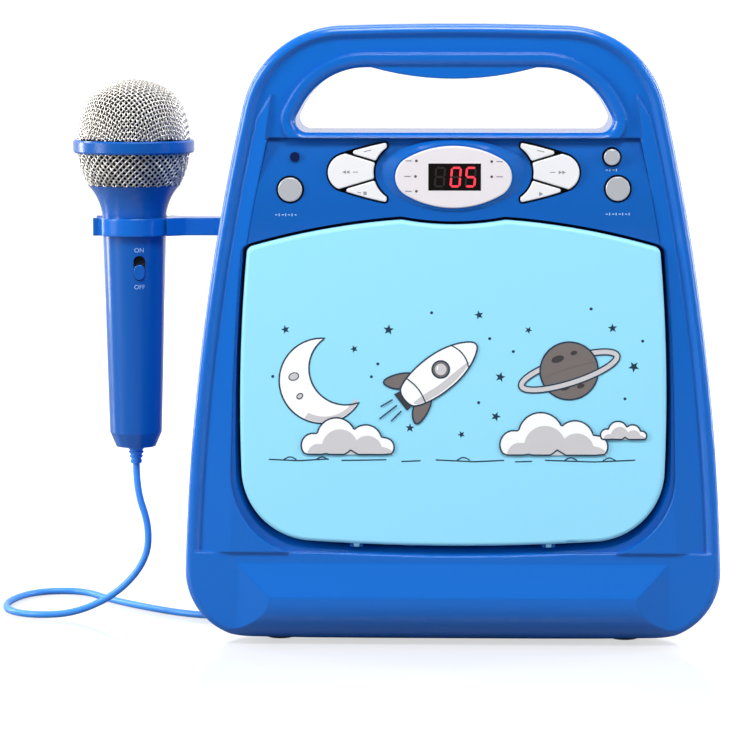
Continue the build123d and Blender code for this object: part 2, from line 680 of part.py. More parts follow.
def door_panel():
    """Pillow-edged front door: a skin with a rim, hinge knuckles and a latch tab."""
    rear_y = DOOR_FRONT_Y + DOOR_RIM_DEPTH
    body = slab(door_outline(), DOOR_FRONT_Y, rear_y)
    body = fillet(body.faces().sort_by(Axis.Y)[0].edges(), DOOR_EDGE_R)
    body -= slab(door_outline(-DOOR_RIM_WALL), DOOR_FRONT_Y + DOOR_SKIN, rear_y + 1)
    skin_y = DOOR_FRONT_Y + DOOR_SKIN
    for x in (-70.0, 70.0):
        for z in (LINER_LOW_Z + 22, DOOR_TOP_Z - 32):
            body += pole(x, z, 3.0, skin_y - 0.5, rear_y - LINER_THICK - LINER_GAP)
    for x in (-HINGE_X, HINGE_X):
        room = HINGE_PIN_HALF + LUG_SIDE_GAP
        top = HINGE_Z + LUG_R + LINER_GAP
        body -= block(x - room, x + room, skin_y, rear_y + 1, DOOR_BOTTOM_Z - 3, top)
        body += hinge_bar(x, KNUCKLE_HALF_W, LUG_R)
        body += block(x - KNUCKLE_HALF_W, x + KNUCKLE_HALF_W, skin_y - 0.5, HINGE_Y,
                      HINGE_Z, top + 0.5)
        body -= hinge_bar(x, HINGE_PIN_HALF, HINGE_PIN_R)
    tab_root = skin_y - 0.5
    body += block(-LATCH_TAB_W / 2, LATCH_TAB_W / 2, tab_root, LATCH_TAB_TIP_Y,
                  LATCH_Z - LATCH_TAB_THICK / 2, LATCH_Z + LATCH_TAB_THICK / 2)
    return body


def hinge_pins():
    """Two steel hinge pins held by the door's knuckles."""
    return hinge_bar(-HINGE_X, HINGE_PIN_HALF - 0.1, HINGE_PIN_R) + hinge_bar(
        HINGE_X, HINGE_PIN_HALF - 0.1, HINGE_PIN_R)


def hinge_lugs():
    """Lugs on the lower wall of the door well, a pair round each knuckle of the door."""
    lugs = None
    for x in (-HINGE_X, HINGE_X):
        for side in (-1, 1):
            middle = x + side * (HINGE_PIN_HALF - LUG_W / 2)
            lug = hinge_bar(middle, LUG_W / 2, LUG_R)
            lug += block(middle - LUG_W / 2, middle + LUG_W / 2, HINGE_Y,
                         RIM_Y + MOUTH_DEPTH + 1.0, HINGE_Z - LUG_R, HINGE_Z + LUG_R / 2)
            lug -= hinge_bar(x, HINGE_PIN_HALF + 0.1, HINGE_PIN_R + RUNNING_GAP)
            lugs = lug if lugs is None else lugs + lug
    return lugs


def door_liner():
    """Inner cover that closes the back of the door."""
    face = door_outline(-DOOR_RIM_WALL - LINER_GAP) & span(
        -DOOR_HALF_W, LINER_LOW_Z, DOOR_HALF_W, DOOR_TOP_Z)
    rear_y = DOOR_FRONT_Y + DOOR_RIM_DEPTH
    body = slab(face, rear_y - LINER_THICK, rear_y)
    gap = LINER_GAP
    body -= block(-LATCH_TAB_W / 2 - gap, LATCH_TAB_W / 2 + gap, DOOR_FRONT_Y, PARTING_Y,
                  LATCH_Z - LATCH_TAB_THICK / 2 - gap, LATCH_Z + LATCH_TAB_THICK / 2 + gap)
    return body


def door_latch():
    """Catch block that holds the door's tab shut, on the disc deck."""
    half = LATCH_TAB_W / 2 + 3.0
    high = LATCH_TAB_THICK / 2 + LATCH_GAP
    body = block(-half, half, LATCH_FRONT_Y, DECK_FRONT_Y, LATCH_Z - high - 2.0,
                 LATCH_Z + high + 2.0)
    body -= block(-LATCH_TAB_W / 2 - LATCH_GAP, LATCH_TAB_W / 2 + LATCH_GAP, LATCH_FRONT_Y - 1,
                  LATCH_TAB_TIP_Y + 1.2, LATCH_Z - high, LATCH_Z + high)
    return body


# ---------------------------------------------------------------- disc deck and pick-up
def deck_slot(grow=0.0):
    """Opening in the deck for the hub and the pick-up lens."""
    slot = Pos(0, DISC_CENTRE_Z) * Circle(HUB_HOLE_R + grow)
    return slot + span(0, DISC_CENTRE_Z - SLOT_HALF_W - grow, SLOT_END_X + grow,
                       DISC_CENTRE_Z + SLOT_HALF_W + grow)


def rod_ends():
    """X positions of the two lugs that carry the guide rods."""
    inner = SLED_INNER_X - SLED_HALF_W - 4.0
    outer = SLED_INNER_X + SLED_TRAVEL + SLED_HALF_W + 1.0
    return inner, outer


def disc_deck():
    """Moulded plate behind the disc, dished, with the lens slot and the rod lugs."""
    rear_y = DECK_FRONT_Y + DECK_THICK
    centre = Pos(0, DISC_CENTRE_Z)
    body = slab(door_lens(DOOR_GAP + WELL_WALL), DECK_FRONT_Y, rear_y)
    body += slab(centre * Circle(DECK_WELL_R + DECK_THICK), rear_y, rear_y + DECK_WELL_DEPTH)
    body -= slab(centre * Circle(DECK_WELL_R), DECK_FRONT_Y - 1, DECK_FRONT_Y + DECK_WELL_DEPTH)
    body -= slab(deck_slot(), DECK_FRONT_Y - 1, PARTING_Y)
    floor_y = DECK_FRONT_Y + DECK_WELL_DEPTH + DECK_THICK
    inner, outer = rod_ends()
    for x in (inner, outer):
        for z in (DISC_CENTRE_Z - ROD_SPREAD, DISC_CENTRE_Z + ROD_SPREAD):
            body += block(x, x + 3.0, rear_y - 0.1, ROD_Y + ROD_R + 2.0, z - 3.2, z + 3.2)
    for x, z, r in deck_rods():
        body -= rod_bar(x, z, r)
    for z in (DISC_CENTRE_Z - MOTOR_R - 3.5, DISC_CENTRE_Z + MOTOR_R + 3.5):
        body += pole(-8.0, z, 2.6, floor_y - 0.5, floor_y + 3.4)
    return body


def deck_rods():
    """(x, z, radius) of each guide rod's inner end."""
    inner, _ = rod_ends()
    return [(inner, DISC_CENTRE_Z + side * ROD_SPREAD, ROD_R) for side in (-1, 1)]


def rod_bar(x, z, r):
    """Guide rod along X."""
    inner, outer = rod_ends()
    bar = extrude(Plane.YZ * Pos(ROD_Y, z) * Circle(r), amount=outer + 3.0 - inner)
    return Pos(x, 0, 0) * bar


def sled_rods():
    """Two steel rods that guide the pick-up sled."""
    first, second = [rod_bar(*rod) for rod in deck_rods()]
    return first + second


def laser_sled():
    """Pick-up sled that slides along the rods behind the disc."""
    x0, x1 = SLED_INNER_X - SLED_HALF_W, SLED_INNER_X + SLED_HALF_W
    z0, z1 = DISC_CENTRE_Z - SLED_HALF_H, DISC_CENTRE_Z + SLED_HALF_H
    body = block(x0, x1, SLED_FRONT_Y, SLED_FRONT_Y + SLED_THICK, z0, z1)
    body = fillet(body.edges().filter_by(Axis.Y), 2.0)
    tower = block(x0 + 5, x1 - 5, LENS_FRONT_Y + 1.2, SLED_FRONT_Y + 0.5,
                  DISC_CENTRE_Z - SLOT_HALF_W + 1.0, DISC_CENTRE_Z + SLOT_HALF_W - 1.0)
    body += fillet(tower.edges().filter_by(Axis.Y), 2.0)
    for x, z, r in deck_rods():
        body -= rod_bar(x, z, r + RUNNING_GAP)
    body -= pole(SLED_INNER_X, DISC_CENTRE_Z, LENS_R + RUNNING_GAP, RIM_Y, LENS_FRONT_Y + 2.6)
    return body


def laser_lens():
    """Glass objective lens of the pick-up."""
    body = pole(SLED_INNER_X, DISC_CENTRE_Z, LENS_R, LENS_FRONT_Y, LENS_FRONT_Y + 2.6)
    return fillet(body.faces().sort_by(Axis.Y)[0].edges(), 0.8)


def spindle_motor():
    """Flat can motor that turns the disc hub."""
    front_y = DECK_FRONT_Y + DECK_WELL_DEPTH + DECK_THICK + 3.4
    can = pole(0, DISC_CENTRE_Z, MOTOR_R, front_y, front_y + MOTOR_LENGTH)
    can = fillet(can.faces().sort_by(Axis.Y)[-1].edges(), 1.5)
    can += slab(Pos(-4, DISC_CENTRE_Z) * RectangleRounded(13, 2 * MOTOR_R + 14, 3), front_y,
                front_y + 1.6)
    return can - pole(0, DISC_CENTRE_Z, SHAFT_R + RUNNING_GAP, front_y - 1, front_y + 9)


def spindle_shaft():
    """Shaft that turns in the motor and carries the hub."""
    front_y = DECK_FRONT_Y + DECK_WELL_DEPTH + DECK_THICK + 3.4
    return pole(0, DISC_CENTRE_Z, SHAFT_R, HUB_TIP_Y + 0.8, front_y + 8.5)


def disc_hub():
    """Turntable with a centring cone and three grip beads."""
    seat = pole(0, DISC_CENTRE_Z, HUB_BOSS_R, HUB_SEAT_Y, HUB_SEAT_Y + 1.8)
    cone = pole(0, DISC_CENTRE_Z, HUB_R, HUB_TIP_Y, HUB_SEAT_Y + 0.2)
    cone = chamfer(cone.faces().sort_by(Axis.Y)[0].edges(), 1.4)
    body = seat + cone + pole(0, DISC_CENTRE_Z, 3.5, HUB_SEAT_Y + 1.5, DECK_FRONT_Y + 6.0)
    reach = HUB_R + BEAD_PROUD - BEAD_R
    for turn in range(3):
        angle = math.radians(90 + 120 * turn)
        body += Pos(reach * math.cos(angle), HUB_SEAT_Y - 1.8,
                    DISC_CENTRE_Z + reach * math.sin(angle)) * Sphere(BEAD_R)
    return body - pole(0, DISC_CENTRE_Z, SHAFT_R, RIM_Y, PARTING_Y)


# ---------------------------------------------------------------- rear cabinet
def rear_outline(inset, shrink):
    """Rear silhouette: moved inwards, with big lower corners just off the floor."""
    side = inset + shrink
    return lens(HALF_W - side, SIDE_R - side, WIDEST_Z, TOP_Z - side, TOP_R - side,
                REAR_CLEAR_Z + shrink, BOTTOM_R - side, REAR_CORNER_R - shrink,
                TOP_CORNER_R - side)


def rear_form(shrink=0.0):
    """Outer form of the rear cabinet, or its hollow when shrunk by a wall."""
    back_y = REAR_Y - shrink
    front = rear_outline(REAR_INSET_FRONT, shrink)
    back = rear_outline(REAR_INSET_BACK, shrink)
    front_y = PARTING_Y - shrink
    body = loft([plate(front, front_y).faces()[0], plate(back, back_y).faces()[0]], ruled=True)
    bends = ((REAR_SHOULDER, REAR_SHOULDER_R - shrink), (REAR_SHELF, REAR_SHELF_R - shrink),
             (REAR_NECK, REAR_NECK_R + shrink))
    top = TOP_Z + 1
    profile = area((front_y - 1, 0), (back_y, 0),
                   *[(y - shrink, z - shrink) for (y, z), _ in bends],
                   (HANDLE_REAR_Y - shrink, top), (front_y - 1, top))
    for (y, z), radius in bends:
        corner = profile.vertices().filter_by(
            lambda v: abs(v.X - y + shrink) < 0.01 and abs(v.Y - z + shrink) < 0.01)
        profile = fillet(corner, radius)
    return body & side_slab(profile, HALF_W)


def speaker_grille():
    """Slots through the rear wall in front of the speaker, as one cutter."""
    count = int(CONE_R / GRILLE_PITCH)
    slots = None
    for step in range(-count, count + 1):
        dz = step * GRILLE_PITCH
        half = math.sqrt(CONE_R ** 2 - dz ** 2)
        if half < GRILLE_PITCH:
            continue
        slot = Pos(0, SPEAKER_Z + dz) * SlotOverall(2 * half, GRILLE_SLOT)
        slots = slot if slots is None else slots + slot
    return slab(slots, REAR_Y - WALL - 1, REAR_Y + 1)


def bay_box(grow=0.0, front_y=BAY_FLOOR_Y, rear_y=REAR_Y):
    """Battery bay space, grown sideways."""
    x0, x1, z0, z1 = BAY
    return block(x0 - grow, x1 + grow, front_y, rear_y, z0 - grow, z1 + grow)


def foot_pads():
    """Feet as (x, y) pairs."""
    (fx, fy), (rx, ry) = FRONT_FEET, REAR_FEET
    return [(-fx, fy), (fx, fy), (-rx, ry), (rx, ry), MIDDLE_FOOT]


def foot_pocket():
    """Blind pockets for the feet in the cabinet's underside, as one cutter."""
    cutter = None
    for x, y in foot_pads():
        depth = BOTTOM_Z + x * x / (2 * BOTTOM_R) if y < PARTING_Y else REAR_CLEAR_Z
        one = Pos(x, y, 0) * extrude(Circle(FOOT_R + POCKET_GAP), amount=depth + FOOT_POCKET)
        cutter = one if cutter is None else cutter + one
    return cutter


def bay_hinge(half, r):
    """Bar on the battery door's hinge line."""
    z = BAY[2] + BAY_PIN_R + 1.0
    bar = extrude(Plane.YZ * Pos(REAR_Y - BAY_PIN_R - 0.6, z) * Circle(r), amount=half, both=True)
    return bar


def tenon_slot(grow=0.0):
    """Space of the microphone holder's tenon in the cabinet side."""
    return block(MIC_X, -HALF_W + 30, MIC_Y - TENON_W / 2 - grow, MIC_Y + TENON_W / 2 + grow,
                 CLIP_Z - CLIP_H / 2 + 1 - grow, CLIP_Z + CLIP_H / 2 - 1 + grow)


def rear_cabinet():
    """Rear shell with the handle's rear half, speaker grille, connectors and battery bay."""
    body = rear_form()
    body = fillet(body.edges().filter_by(lambda e: e.center().Y > PARTING_Y + 3), REAR_EDGE_R)
    body -= rear_form(WALL) - slab(grip_opening(WALL) + grip_bump(), PARTING_Y, REAR_Y)
    body -= slab(grip_opening() - grip_bump(), PARTING_Y - 1, REAR_Y + 1)
    body -= speaker_grille()

    # battery bay: a five-walled tray let into the rear wall
    tray = bay_box(BAY_WALL, BAY_FLOOR_Y - BAY_WALL, REAR_Y - 0.5)
    body += tray & rear_form()
    body -= bay_box(0, BAY_FLOOR_Y, REAR_Y + 1)
    door_ledge = BAY_DOOR_GAP + 1.2
    body -= bay_box(door_ledge, REAR_Y - BAY_DOOR_THICK - 0.2, REAR_Y + 1) - bay_box(
        0, REAR_Y - 9, REAR_Y + 2)
    body -= bay_hinge(BAY[1] + 2.0, BAY_PIN_R + RUNNING_GAP)

    # connectors, knobs and screw towers on the rear wall and the parting face
    for x in MIC_JACK_XS:
        body -= pole(x, JACK_Z, MIC_JACK_R + NOSE_WALL + RUNNING_GAP, REAR_Y - WALL - 1, REAR_Y + 1)
    body -= pole(*AUX_JACK, AUX_JACK_R + NOSE_WALL + RUNNING_GAP, REAR_Y - WALL - 1, REAR_Y + 1)
    body -= slab(Pos(*INLET) * Rectangle(INLET_W, INLET_H), REAR_Y - WALL - 1, REAR_Y + 1)
    for x in KNOB_XS:
        body -= pole(x, JACK_Z, 3.4, REAR_Y - WALL - 1, REAR_Y + 1)
    for x, z in SCREW_SPOTS:
        tower = pole(x, z, BOSS_R, PARTING_Y, REAR_Y) & rear_form()
        body += tower
        body -= pole(x, z, SCREW_R + 0.2, PARTING_Y - 1, REAR_Y + 1)
        body -= pole(x, z, SCREW_HEAD_R + 0.3, PARTING_Y + 6.0, REAR_Y + 1)
    body -= tenon_slot(POCKET_GAP)
    wall = block(-HALF_W, -HALF_W + 32, MIC_Y - TENON_W / 2 - 3, MIC_Y + TENON_W / 2 + 3,
                 CLIP_Z - CLIP_H / 2 - 2, CLIP_Z + CLIP_H / 2 + 2) & rear_form()
    body += wall - tenon_slot(POCKET_GAP)
    return body - foot_pocket()


def screw_bosses():
    """Bosses of the front cabinet that take the cabinet screws."""
    bosses = None
    for x, z in SCREW_SPOTS:
        boss = pole(x, z, BOSS_R, BASE_Y + WALL / 2, PARTING_Y)
        boss -= pole(x, z, SCREW_R - 0.3, PARTING_Y - 12, PARTING_Y + 1)
        bosses = boss if bosses is None else bosses + boss
    return bosses


def cabinet_screws():
    """Four screws that hold the two cabinet halves together."""
    group = None
    for x, z in SCREW_SPOTS:
        head = pole(x, z, SCREW_HEAD_R, PARTING_Y + 6.0, PARTING_Y + 8.2)
        head -= slab(Pos(x, z) * (Rectangle(3.6, 0.8) + Rectangle(0.8, 3.6)),
                     PARTING_Y + 7.2, PARTING_Y + 9)
        shank = pole(x, z, SCREW_R - 0.3, PARTING_Y - 10, PARTING_Y + 6.5)
        one = head + shank
        group = one if group is None else group + one
    return group


def feet():
    """Five soft round feet seated in shallow pockets."""
    group = None
    for x, y in foot_pads():
        depth = BOTTOM_Z + x * x / (2 * BOTTOM_R) if y < PARTING_Y else REAR_CLEAR_Z
        one = extrude(Circle(FOOT_R), amount=depth + FOOT_POCKET)
        one = Pos(x, y, 0) * chamfer(one.edges().sort_by(Axis.Z)[0], 0.6)
        group = one if group is None else group + one
    return group


# ---------------------------------------------------------------- inside the rear half
def speaker_frame():
    """Pressed basket with its flange against the rear wall."""
    wall_y = REAR_Y - WALL
    flange = pole(0, SPEAKER_Z, SPEAKER_R, wall_y - SPEAKER_FLANGE, wall_y)
    shell = loft([plate(Pos(0, SPEAKER_Z) * Circle(MAGNET_R), wall_y - BASKET_DEPTH).faces()[0],
                  plate(Pos(0, SPEAKER_Z) * Circle(CONE_R + 1.5), wall_y - SPEAKER_FLANGE).faces()[0]])
    hollow = loft([plate(Pos(0, SPEAKER_Z) * Circle(MAGNET_R - 1.5),
                         wall_y - BASKET_DEPTH + 1.5).faces()[0],
                   plate(Pos(0, SPEAKER_Z) * Circle(CONE_R), wall_y + 0.01).faces()[0]])
    magnet = pole(0, SPEAKER_Z, MAGNET_R, wall_y - BASKET_DEPTH - MAGNET_DEPTH,
                  wall_y - BASKET_DEPTH)
    return flange + shell + magnet - hollow


def speaker_cone():
    """Paper cone with its dust cap inside the basket."""
    wall_y = REAR_Y - WALL
    rim = plate(Pos(0, SPEAKER_Z) * Circle(CONE_R - 1.6), wall_y - 1.5).faces()[0]
    neck = plate(Pos(0, SPEAKER_Z) * Circle(9.0), wall_y - 12.0).faces()[0]
    back = plate(Pos(0, SPEAKER_Z) * Circle(8.2), wall_y - 11.0).faces()[0]
    mouth = plate(Pos(0, SPEAKER_Z) * Circle(CONE_R - 2.4), wall_y - 1.4).faces()[0]
    cone = loft([neck, rim], ruled=True) - loft([back, mouth], ruled=True)
    cap = Pos(0, wall_y - 14.5, SPEAKER_Z) * Sphere(9.0)
    return cone + (cap & pole(0, SPEAKER_Z, 9.0, wall_y - 12.0, wall_y))


def main_board():
    """Amplifier and player board on four posts of the rear tray, with its larger parts."""
    y0 = BAY_FLOOR_Y - BAY_WALL - 8.0
    half = 84.0 * WIDE
    board = slab(span(-half, 30, half, 92), y0, y0 + BOARD_THICK)
    for x, z, w, h, d in ((-60, 50, 14, 14, 1.6), (-30, 76, 20, 12, 2.0), (40, 60, 8, 8, 9.0)):
        board += block(x - w / 2, x + w / 2, y0 - d, y0, z - h / 2, z + h / 2)
    sink = block(half - 26, half - 4, y0 - 12, y0, 70, 73)
    sink += block(half - 26, half - 4, y0 - 12, y0, 76, 79)
    for x in (-46.0, 46.0):
        for z in (34.0, 56.0):
            board += pole(x, z, 2.5, y0 + BOARD_THICK, BAY_FLOOR_Y - BAY_WALL)
    return board + sink


def transformer():
    """Mains transformer on the rear wall, under the inlet: laminated core and bobbin."""
    x, z = INLET[0], INLET[1] - 30
    y1 = REAR_Y - WALL
    core = block(x - 17, x + 17, y1 - 26, y1 - 4, z - 15, z + 15)
    core -= block(x - 12, x + 12, y1 - 30, y1, z - 10, z - 4)
    core -= block(x - 12, x + 12, y1 - 30, y1, z + 4, z + 10)
    bobbin = block(x - 11.5, x + 11.5, y1 - 30, y1, z - 9.5, z + 9.5)
    bobbin = fillet(bobbin.edges().filter_by(Axis.X), 3.0)
    return core + (bobbin - block(x - 11.5, x + 11.5, y1 - 26, y1 - 4, z - 4, z + 4))


def mains_inlet():
    """Figure-of-eight mains inlet with two pins."""
    x, z = INLET
    shell = slab(Pos(x, z) * Rectangle(INLET_W, INLET_H), REAR_Y - INLET_DEPTH - 3, REAR_Y + 0.6)
    mouth = Pos(x - 3.2, z) * Circle(3.6) + Pos(x + 3.2, z) * Circle(3.6)
    shell -= slab(mouth, REAR_Y - INLET_DEPTH, REAR_Y + 1)
    for dx in (-4.3, 4.3):
        shell += pole(x + dx, z, 1.15, REAR_Y - INLET_DEPTH - 1, REAR_Y - 2)
    return shell


def jack_body(x, z, bore):
    """Socket with a round nose in the rear wall and a square body behind it."""
    nose = pole(x, z, bore + NOSE_WALL, REAR_Y - WALL, REAR_Y + 0.8)
    back = block(x - JACK_BODY / 2, x + JACK_BODY / 2, REAR_Y - WALL - JACK_DEPTH, REAR_Y - WALL,
                 z - JACK_BODY / 2, z + JACK_BODY / 2)
    return nose + back - pole(x, z, bore, REAR_Y - JACK_DEPTH, REAR_Y + 1)


def mic_jacks():
    """Two microphone sockets."""
    first, second = MIC_JACK_XS
    return jack_body(first, JACK_Z, MIC_JACK_R) + jack_body(second, JACK_Z, MIC_JACK_R)


def aux_jack():
    """Small audio socket."""
    return jack_body(*AUX_JACK, AUX_JACK_R)


def volume_pots():
    """Potentiometer bodies behind the rear wall."""
    group = None
    for x in KNOB_XS:
        body = block(x - 7, x + 7, REAR_Y - WALL - 8, REAR_Y - WALL, JACK_Z - 7, JACK_Z + 7)
        body += pole(x, JACK_Z, 3.3, REAR_Y - WALL, REAR_Y)
        body -= pole(x, JACK_Z, SHAFT_R * 2 + RUNNING_GAP, REAR_Y - WALL - 6, REAR_Y + 1)
        group = body if group is None else group + body
    return group


def volume_knob(x):
    """Ribbed rotary knob with its shaft and a pointer groove."""
    y0 = REAR_Y + KNOB_WALL_GAP
    knob = pole(x, JACK_Z, KNOB_R, y0, y0 + KNOB_LENGTH)
    knob = chamfer(knob.faces().sort_by(Axis.Y)[-1].edges(), 1.0)
    ribs = 16
    for turn in range(ribs):
        angle = 2 * math.pi * turn / ribs
        knob -= pole(x + KNOB_R * math.cos(angle), JACK_Z + KNOB_R * math.sin(angle), 0.6,
                     y0 + 1.5, y0 + KNOB_LENGTH + 1)
    knob -= block(x - 0.5, x + 0.5, y0 + KNOB_LENGTH - 0.8, y0 + KNOB_LENGTH + 1,
                  JACK_Z + 1.0, JACK_Z + KNOB_R)
    return knob + pole(x, JACK_Z, SHAFT_R * 2, REAR_Y - WALL - 5.5, y0 + 1)


def battery_door():
    """Rear battery door with hinge stubs below and a finger tab above."""
    x0, x1, z0, z1 = BAY
    gap = 0.8
    y0 = REAR_Y - BAY_DOOR_THICK
    body = block(x0 - gap, x1 + gap, y0, REAR_Y, z0 + 2 * BAY_PIN_R + 1.5, z1 + gap)
    for rib in range(5):
        z = z0 + 12 + rib * 6.0
        body -= block(x0 + 12, x1 - 12, REAR_Y - 0.7, REAR_Y + 1, z, z + 1.6)
    pin_z = z0 + BAY_PIN_R + 1.0
    for side in (-1, 1):
        x = side * (x1 - 5.0)
        body += block(x - 4, x + 4, y0, REAR_Y - 0.6, pin_z, z0 + 2 * BAY_PIN_R + 2.0)
        stub = extrude(Plane.YZ * Pos(REAR_Y - BAY_PIN_R - 0.6, pin_z) * Circle(BAY_PIN_R),
                       amount=(x1 + 1.6) - (x1 - 9.0))
        body += Pos(x1 - 9.0 if side > 0 else -(x1 + 1.6), 0, 0) * stub
    return body


def battery_contacts():
    """Spring and plate contacts at the ends of the battery bay."""
    x0, x1, z0, z1 = BAY
    group = None
    for x, side in ((x0, 1), (x1, -1)):
        for z in (z0 + 11, z1 - 11):
            inner = x + side * 0.6
            one = block(min(x, inner), max(x, inner), BAY_FLOOR_Y + 6, BAY_FLOOR_Y + 24, z - 7, z + 7)
            tip = x + side * 4.5
            spring = extrude(Plane.YZ * Pos(BAY_FLOOR_Y + 15, z) * Circle(4.0), amount=4.5 - 0.3)
            one += Pos(min(x + side * 0.3, tip), 0, 0) * spring
            group = one if group is None else group + one
    return group


# ---------------------------------------------------------------- microphone and holder
def mic_turned(*points):
    """Solid of revolution about the microphone's axis from (radius, z) points."""
    profile = make_face(Polyline(*points, close=True))
    return Pos(MIC_X, MIC_Y, 0) * revolve(Plane.XZ * profile, Axis.Z)


def upright(face, x, y, z0, z1):
    """Extrude a sketch drawn as (x, y) between two heights."""
    return Pos(x, y, z0) * extrude(face, amount=z1 - z0)


def mic_holder():
    """Arm with a C-clip that opens away from the cabinet, and a tenon into its side."""
    z0, z1 = CLIP_Z - CLIP_H / 2, CLIP_Z + CLIP_H / 2
    outer = CLIP_R + CLIP_WALL
    half = math.radians(CLIP_MOUTH_DEG / 2)
    reach = outer * 2
    mouth = area((0, 0), (-reach * math.cos(half), reach * math.sin(half)),
                 (-reach * math.cos(half), -reach * math.sin(half)))
    ring = Circle(outer) - Circle(CLIP_R) - mouth
    end_x = -(CLIP_R + CLIP_WALL / 2) * math.cos(half)
    end_y = (CLIP_R + CLIP_WALL / 2) * math.sin(half)
    for side in (-1, 1):
        lip = area((end_x + 0.8, side * (end_y - CLIP_WALL / 2 + 0.3)),
                   (end_x - CLIP_LIP, side * (end_y + 0.8)),
                   (end_x - CLIP_LIP, side * (end_y + 0.8 + CLIP_WALL * 0.8)),
                   (end_x + 1.6, side * (end_y + CLIP_WALL * 0.5)))
        ring += lip
    arm = span(outer - CLIP_WALL / 2, -ARM_W / 2, ARM_END_X - MIC_X, ARM_W / 2)
    arm += area((CLIP_R + 0.6, -ARM_W), (outer + 7, -ARM_W / 2), (outer + 7, ARM_W / 2),
                (CLIP_R + 0.6, ARM_W))
    arm -= Circle(CLIP_R + 0.4)
    body = upright(ring + arm, MIC_X, MIC_Y, z0, z1)
    body -= rear_form()
    # groove that lets the switch slider pass when the microphone is lifted
    groove_x = MIC_X + SWITCH_X
    body -= block(groove_x - SWITCH_W / 2 - 0.6, groove_x + SWITCH_W / 2 + 0.6,
                  MIC_Y - HANDLE_TOP_R - 0.3, MIC_Y, z0 - 1, z1 + 1)
    return body + (tenon_slot() & block(ARM_END_X - 12, ARM_END_X + TENON_LENGTH, -HALF_W,
                                        HALF_W, 0, TOP_Z))


def mic_handle():
    """Tapered handle with a flared neck, a cup for the capsule and the switch recess."""
    clip_top = CLIP_Z + CLIP_H / 2
    neck = ThreePointArc((NECK_TOP_R, NECK_TOP_Z), NECK_WAIST,
                         (CLIP_R - MIC_GAP, clip_top + MIC_GAP))
    lower = Polyline((CLIP_R - MIC_GAP, clip_top + MIC_GAP), (HANDLE_TOP_R, CLIP_Z - CLIP_H / 2),
                     (HANDLE_LOW_R, HANDLE_LOW_Z), (HANDLE_END_R, HANDLE_END_Z), (0, HANDLE_END_Z),
                     (0, NECK_TOP_Z - CUP_DEPTH), (CUP_R, NECK_TOP_Z - CUP_DEPTH),
                     (CUP_R + 1.5, NECK_TOP_Z), (NECK_TOP_R, NECK_TOP_Z))
    profile = make_face(neck.edges() + lower.edges())
    return turned_face(profile) - switch_recess()


def switch_recess(grow=0.0):
    """Recess for the slide switch in the front of the handle."""
    x = MIC_X + SWITCH_X
    face = Pos(x, SWITCH_Z) * SlotOverall(SWITCH_H + 2 * grow, SWITCH_W + 2 * grow, rotation=90)
    front_y = MIC_Y - HANDLE_TOP_R
    return slab(face, front_y - 5, front_y + SWITCH_DEPTH)


def mic_switch():
    """Oval slider of the microphone switch, in its lower position."""
    x = MIC_X + SWITCH_X
    z = SWITCH_Z - SWITCH_TRAVEL / 2
    front_y = MIC_Y - HANDLE_TOP_R
    body = slab(Pos(x, z) * SlotOverall(SLIDER_H, SWITCH_W - 2 * POCKET_GAP, rotation=90),
                front_y + SLIDER_SUNK, front_y + SWITCH_DEPTH - POCKET_GAP)
    return fillet(body.faces().sort_by(Axis.Y)[0].edges(), 0.5)


def ball_face(wall):
    """Half section of the ball grille, as (radius, z), moved inwards by the wall."""
    low_ring, high_ring = RING_Z - RING_H / 2, RING_Z + RING_H / 2
    top = (0, BALL_TOP_Z - wall)
    brow = (BALL_CAP[0] - 0.53 * wall, BALL_CAP[1] - 0.85 * wall)
    shoulder = (BALL_SHOULDER[0] - 0.9 * wall, BALL_SHOULDER[1] - 0.44 * wall)
    high, low = (BALL_R - wall, high_ring), (BALL_R - wall, low_ring)
    foot = (NECK_TOP_R - wall, NECK_TOP_Z - wall)
    arcs = [ThreePointArc(top, (9.0, BALL_TOP_Z - 1.25 - wall), brow),
            ThreePointArc(brow, (21.4 - 0.75 * wall, 255.8 - 0.66 * wall), shoulder),
            ThreePointArc(shoulder, (26.3 - wall, 243.5 - 0.1 * wall), high),
            Line(high, low), ThreePointArc(low, (25.6 - wall, 221.0), foot),
            Polyline(foot, (0, foot[1]), top)]
    return make_face([edge for arc in arcs for edge in arc.edges()])


def turned_face(face):
    """Solid of revolution of a half section about the microphone's axis."""
    if face.faces()[0].normal_at().Z < 0:
        face = -face.faces()[0]
    return Pos(MIC_X, MIC_Y, 0) * revolve(Plane.XZ * face, Axis.Z)


def grille_profile(z_from, z_to):
    """Band of the ball grille's wall between two heights."""
    band = upright(Circle(RING_R + 5), MIC_X, MIC_Y, z_from, z_to)
    return (turned_face(ball_face(0)) - turned_face(ball_face(GRILLE_WALL))) & band


def mic_grille_top():
    """Upper half of the ball grille."""
    return grille_profile(RING_Z + RING_H / 2, BALL_TOP_Z + 1)


def mic_grille_bottom():
    """Lower half of the ball grille."""
    return grille_profile(NECK_TOP_Z, RING_Z - RING_H / 2)


def mic_ring():
    """Band that joins the two halves of the grille."""
    low, high = RING_Z - RING_H / 2, RING_Z + RING_H / 2
    inner = BALL_R - GRILLE_WALL - 0.4
    body = mic_turned((inner, low), (RING_R - 0.6, low), (RING_R, low + 0.8), (RING_R, high - 0.8),
                      (RING_R - 0.6, high), (inner, high))
    return body


def mic_capsule():
    """Dynamic capsule in the cup of the handle."""
    z0 = NECK_TOP_Z - CUP_DEPTH
    body = upright(Circle(CUP_R - 0.3), MIC_X, MIC_Y, z0, z0 + 4.0)
    body += upright(Circle(CAPSULE_R), MIC_X, MIC_Y, z0 + 3.5, z0 + 17.0)
    return chamfer(body.edges().sort_by(Axis.Z)[-1], 1.5)


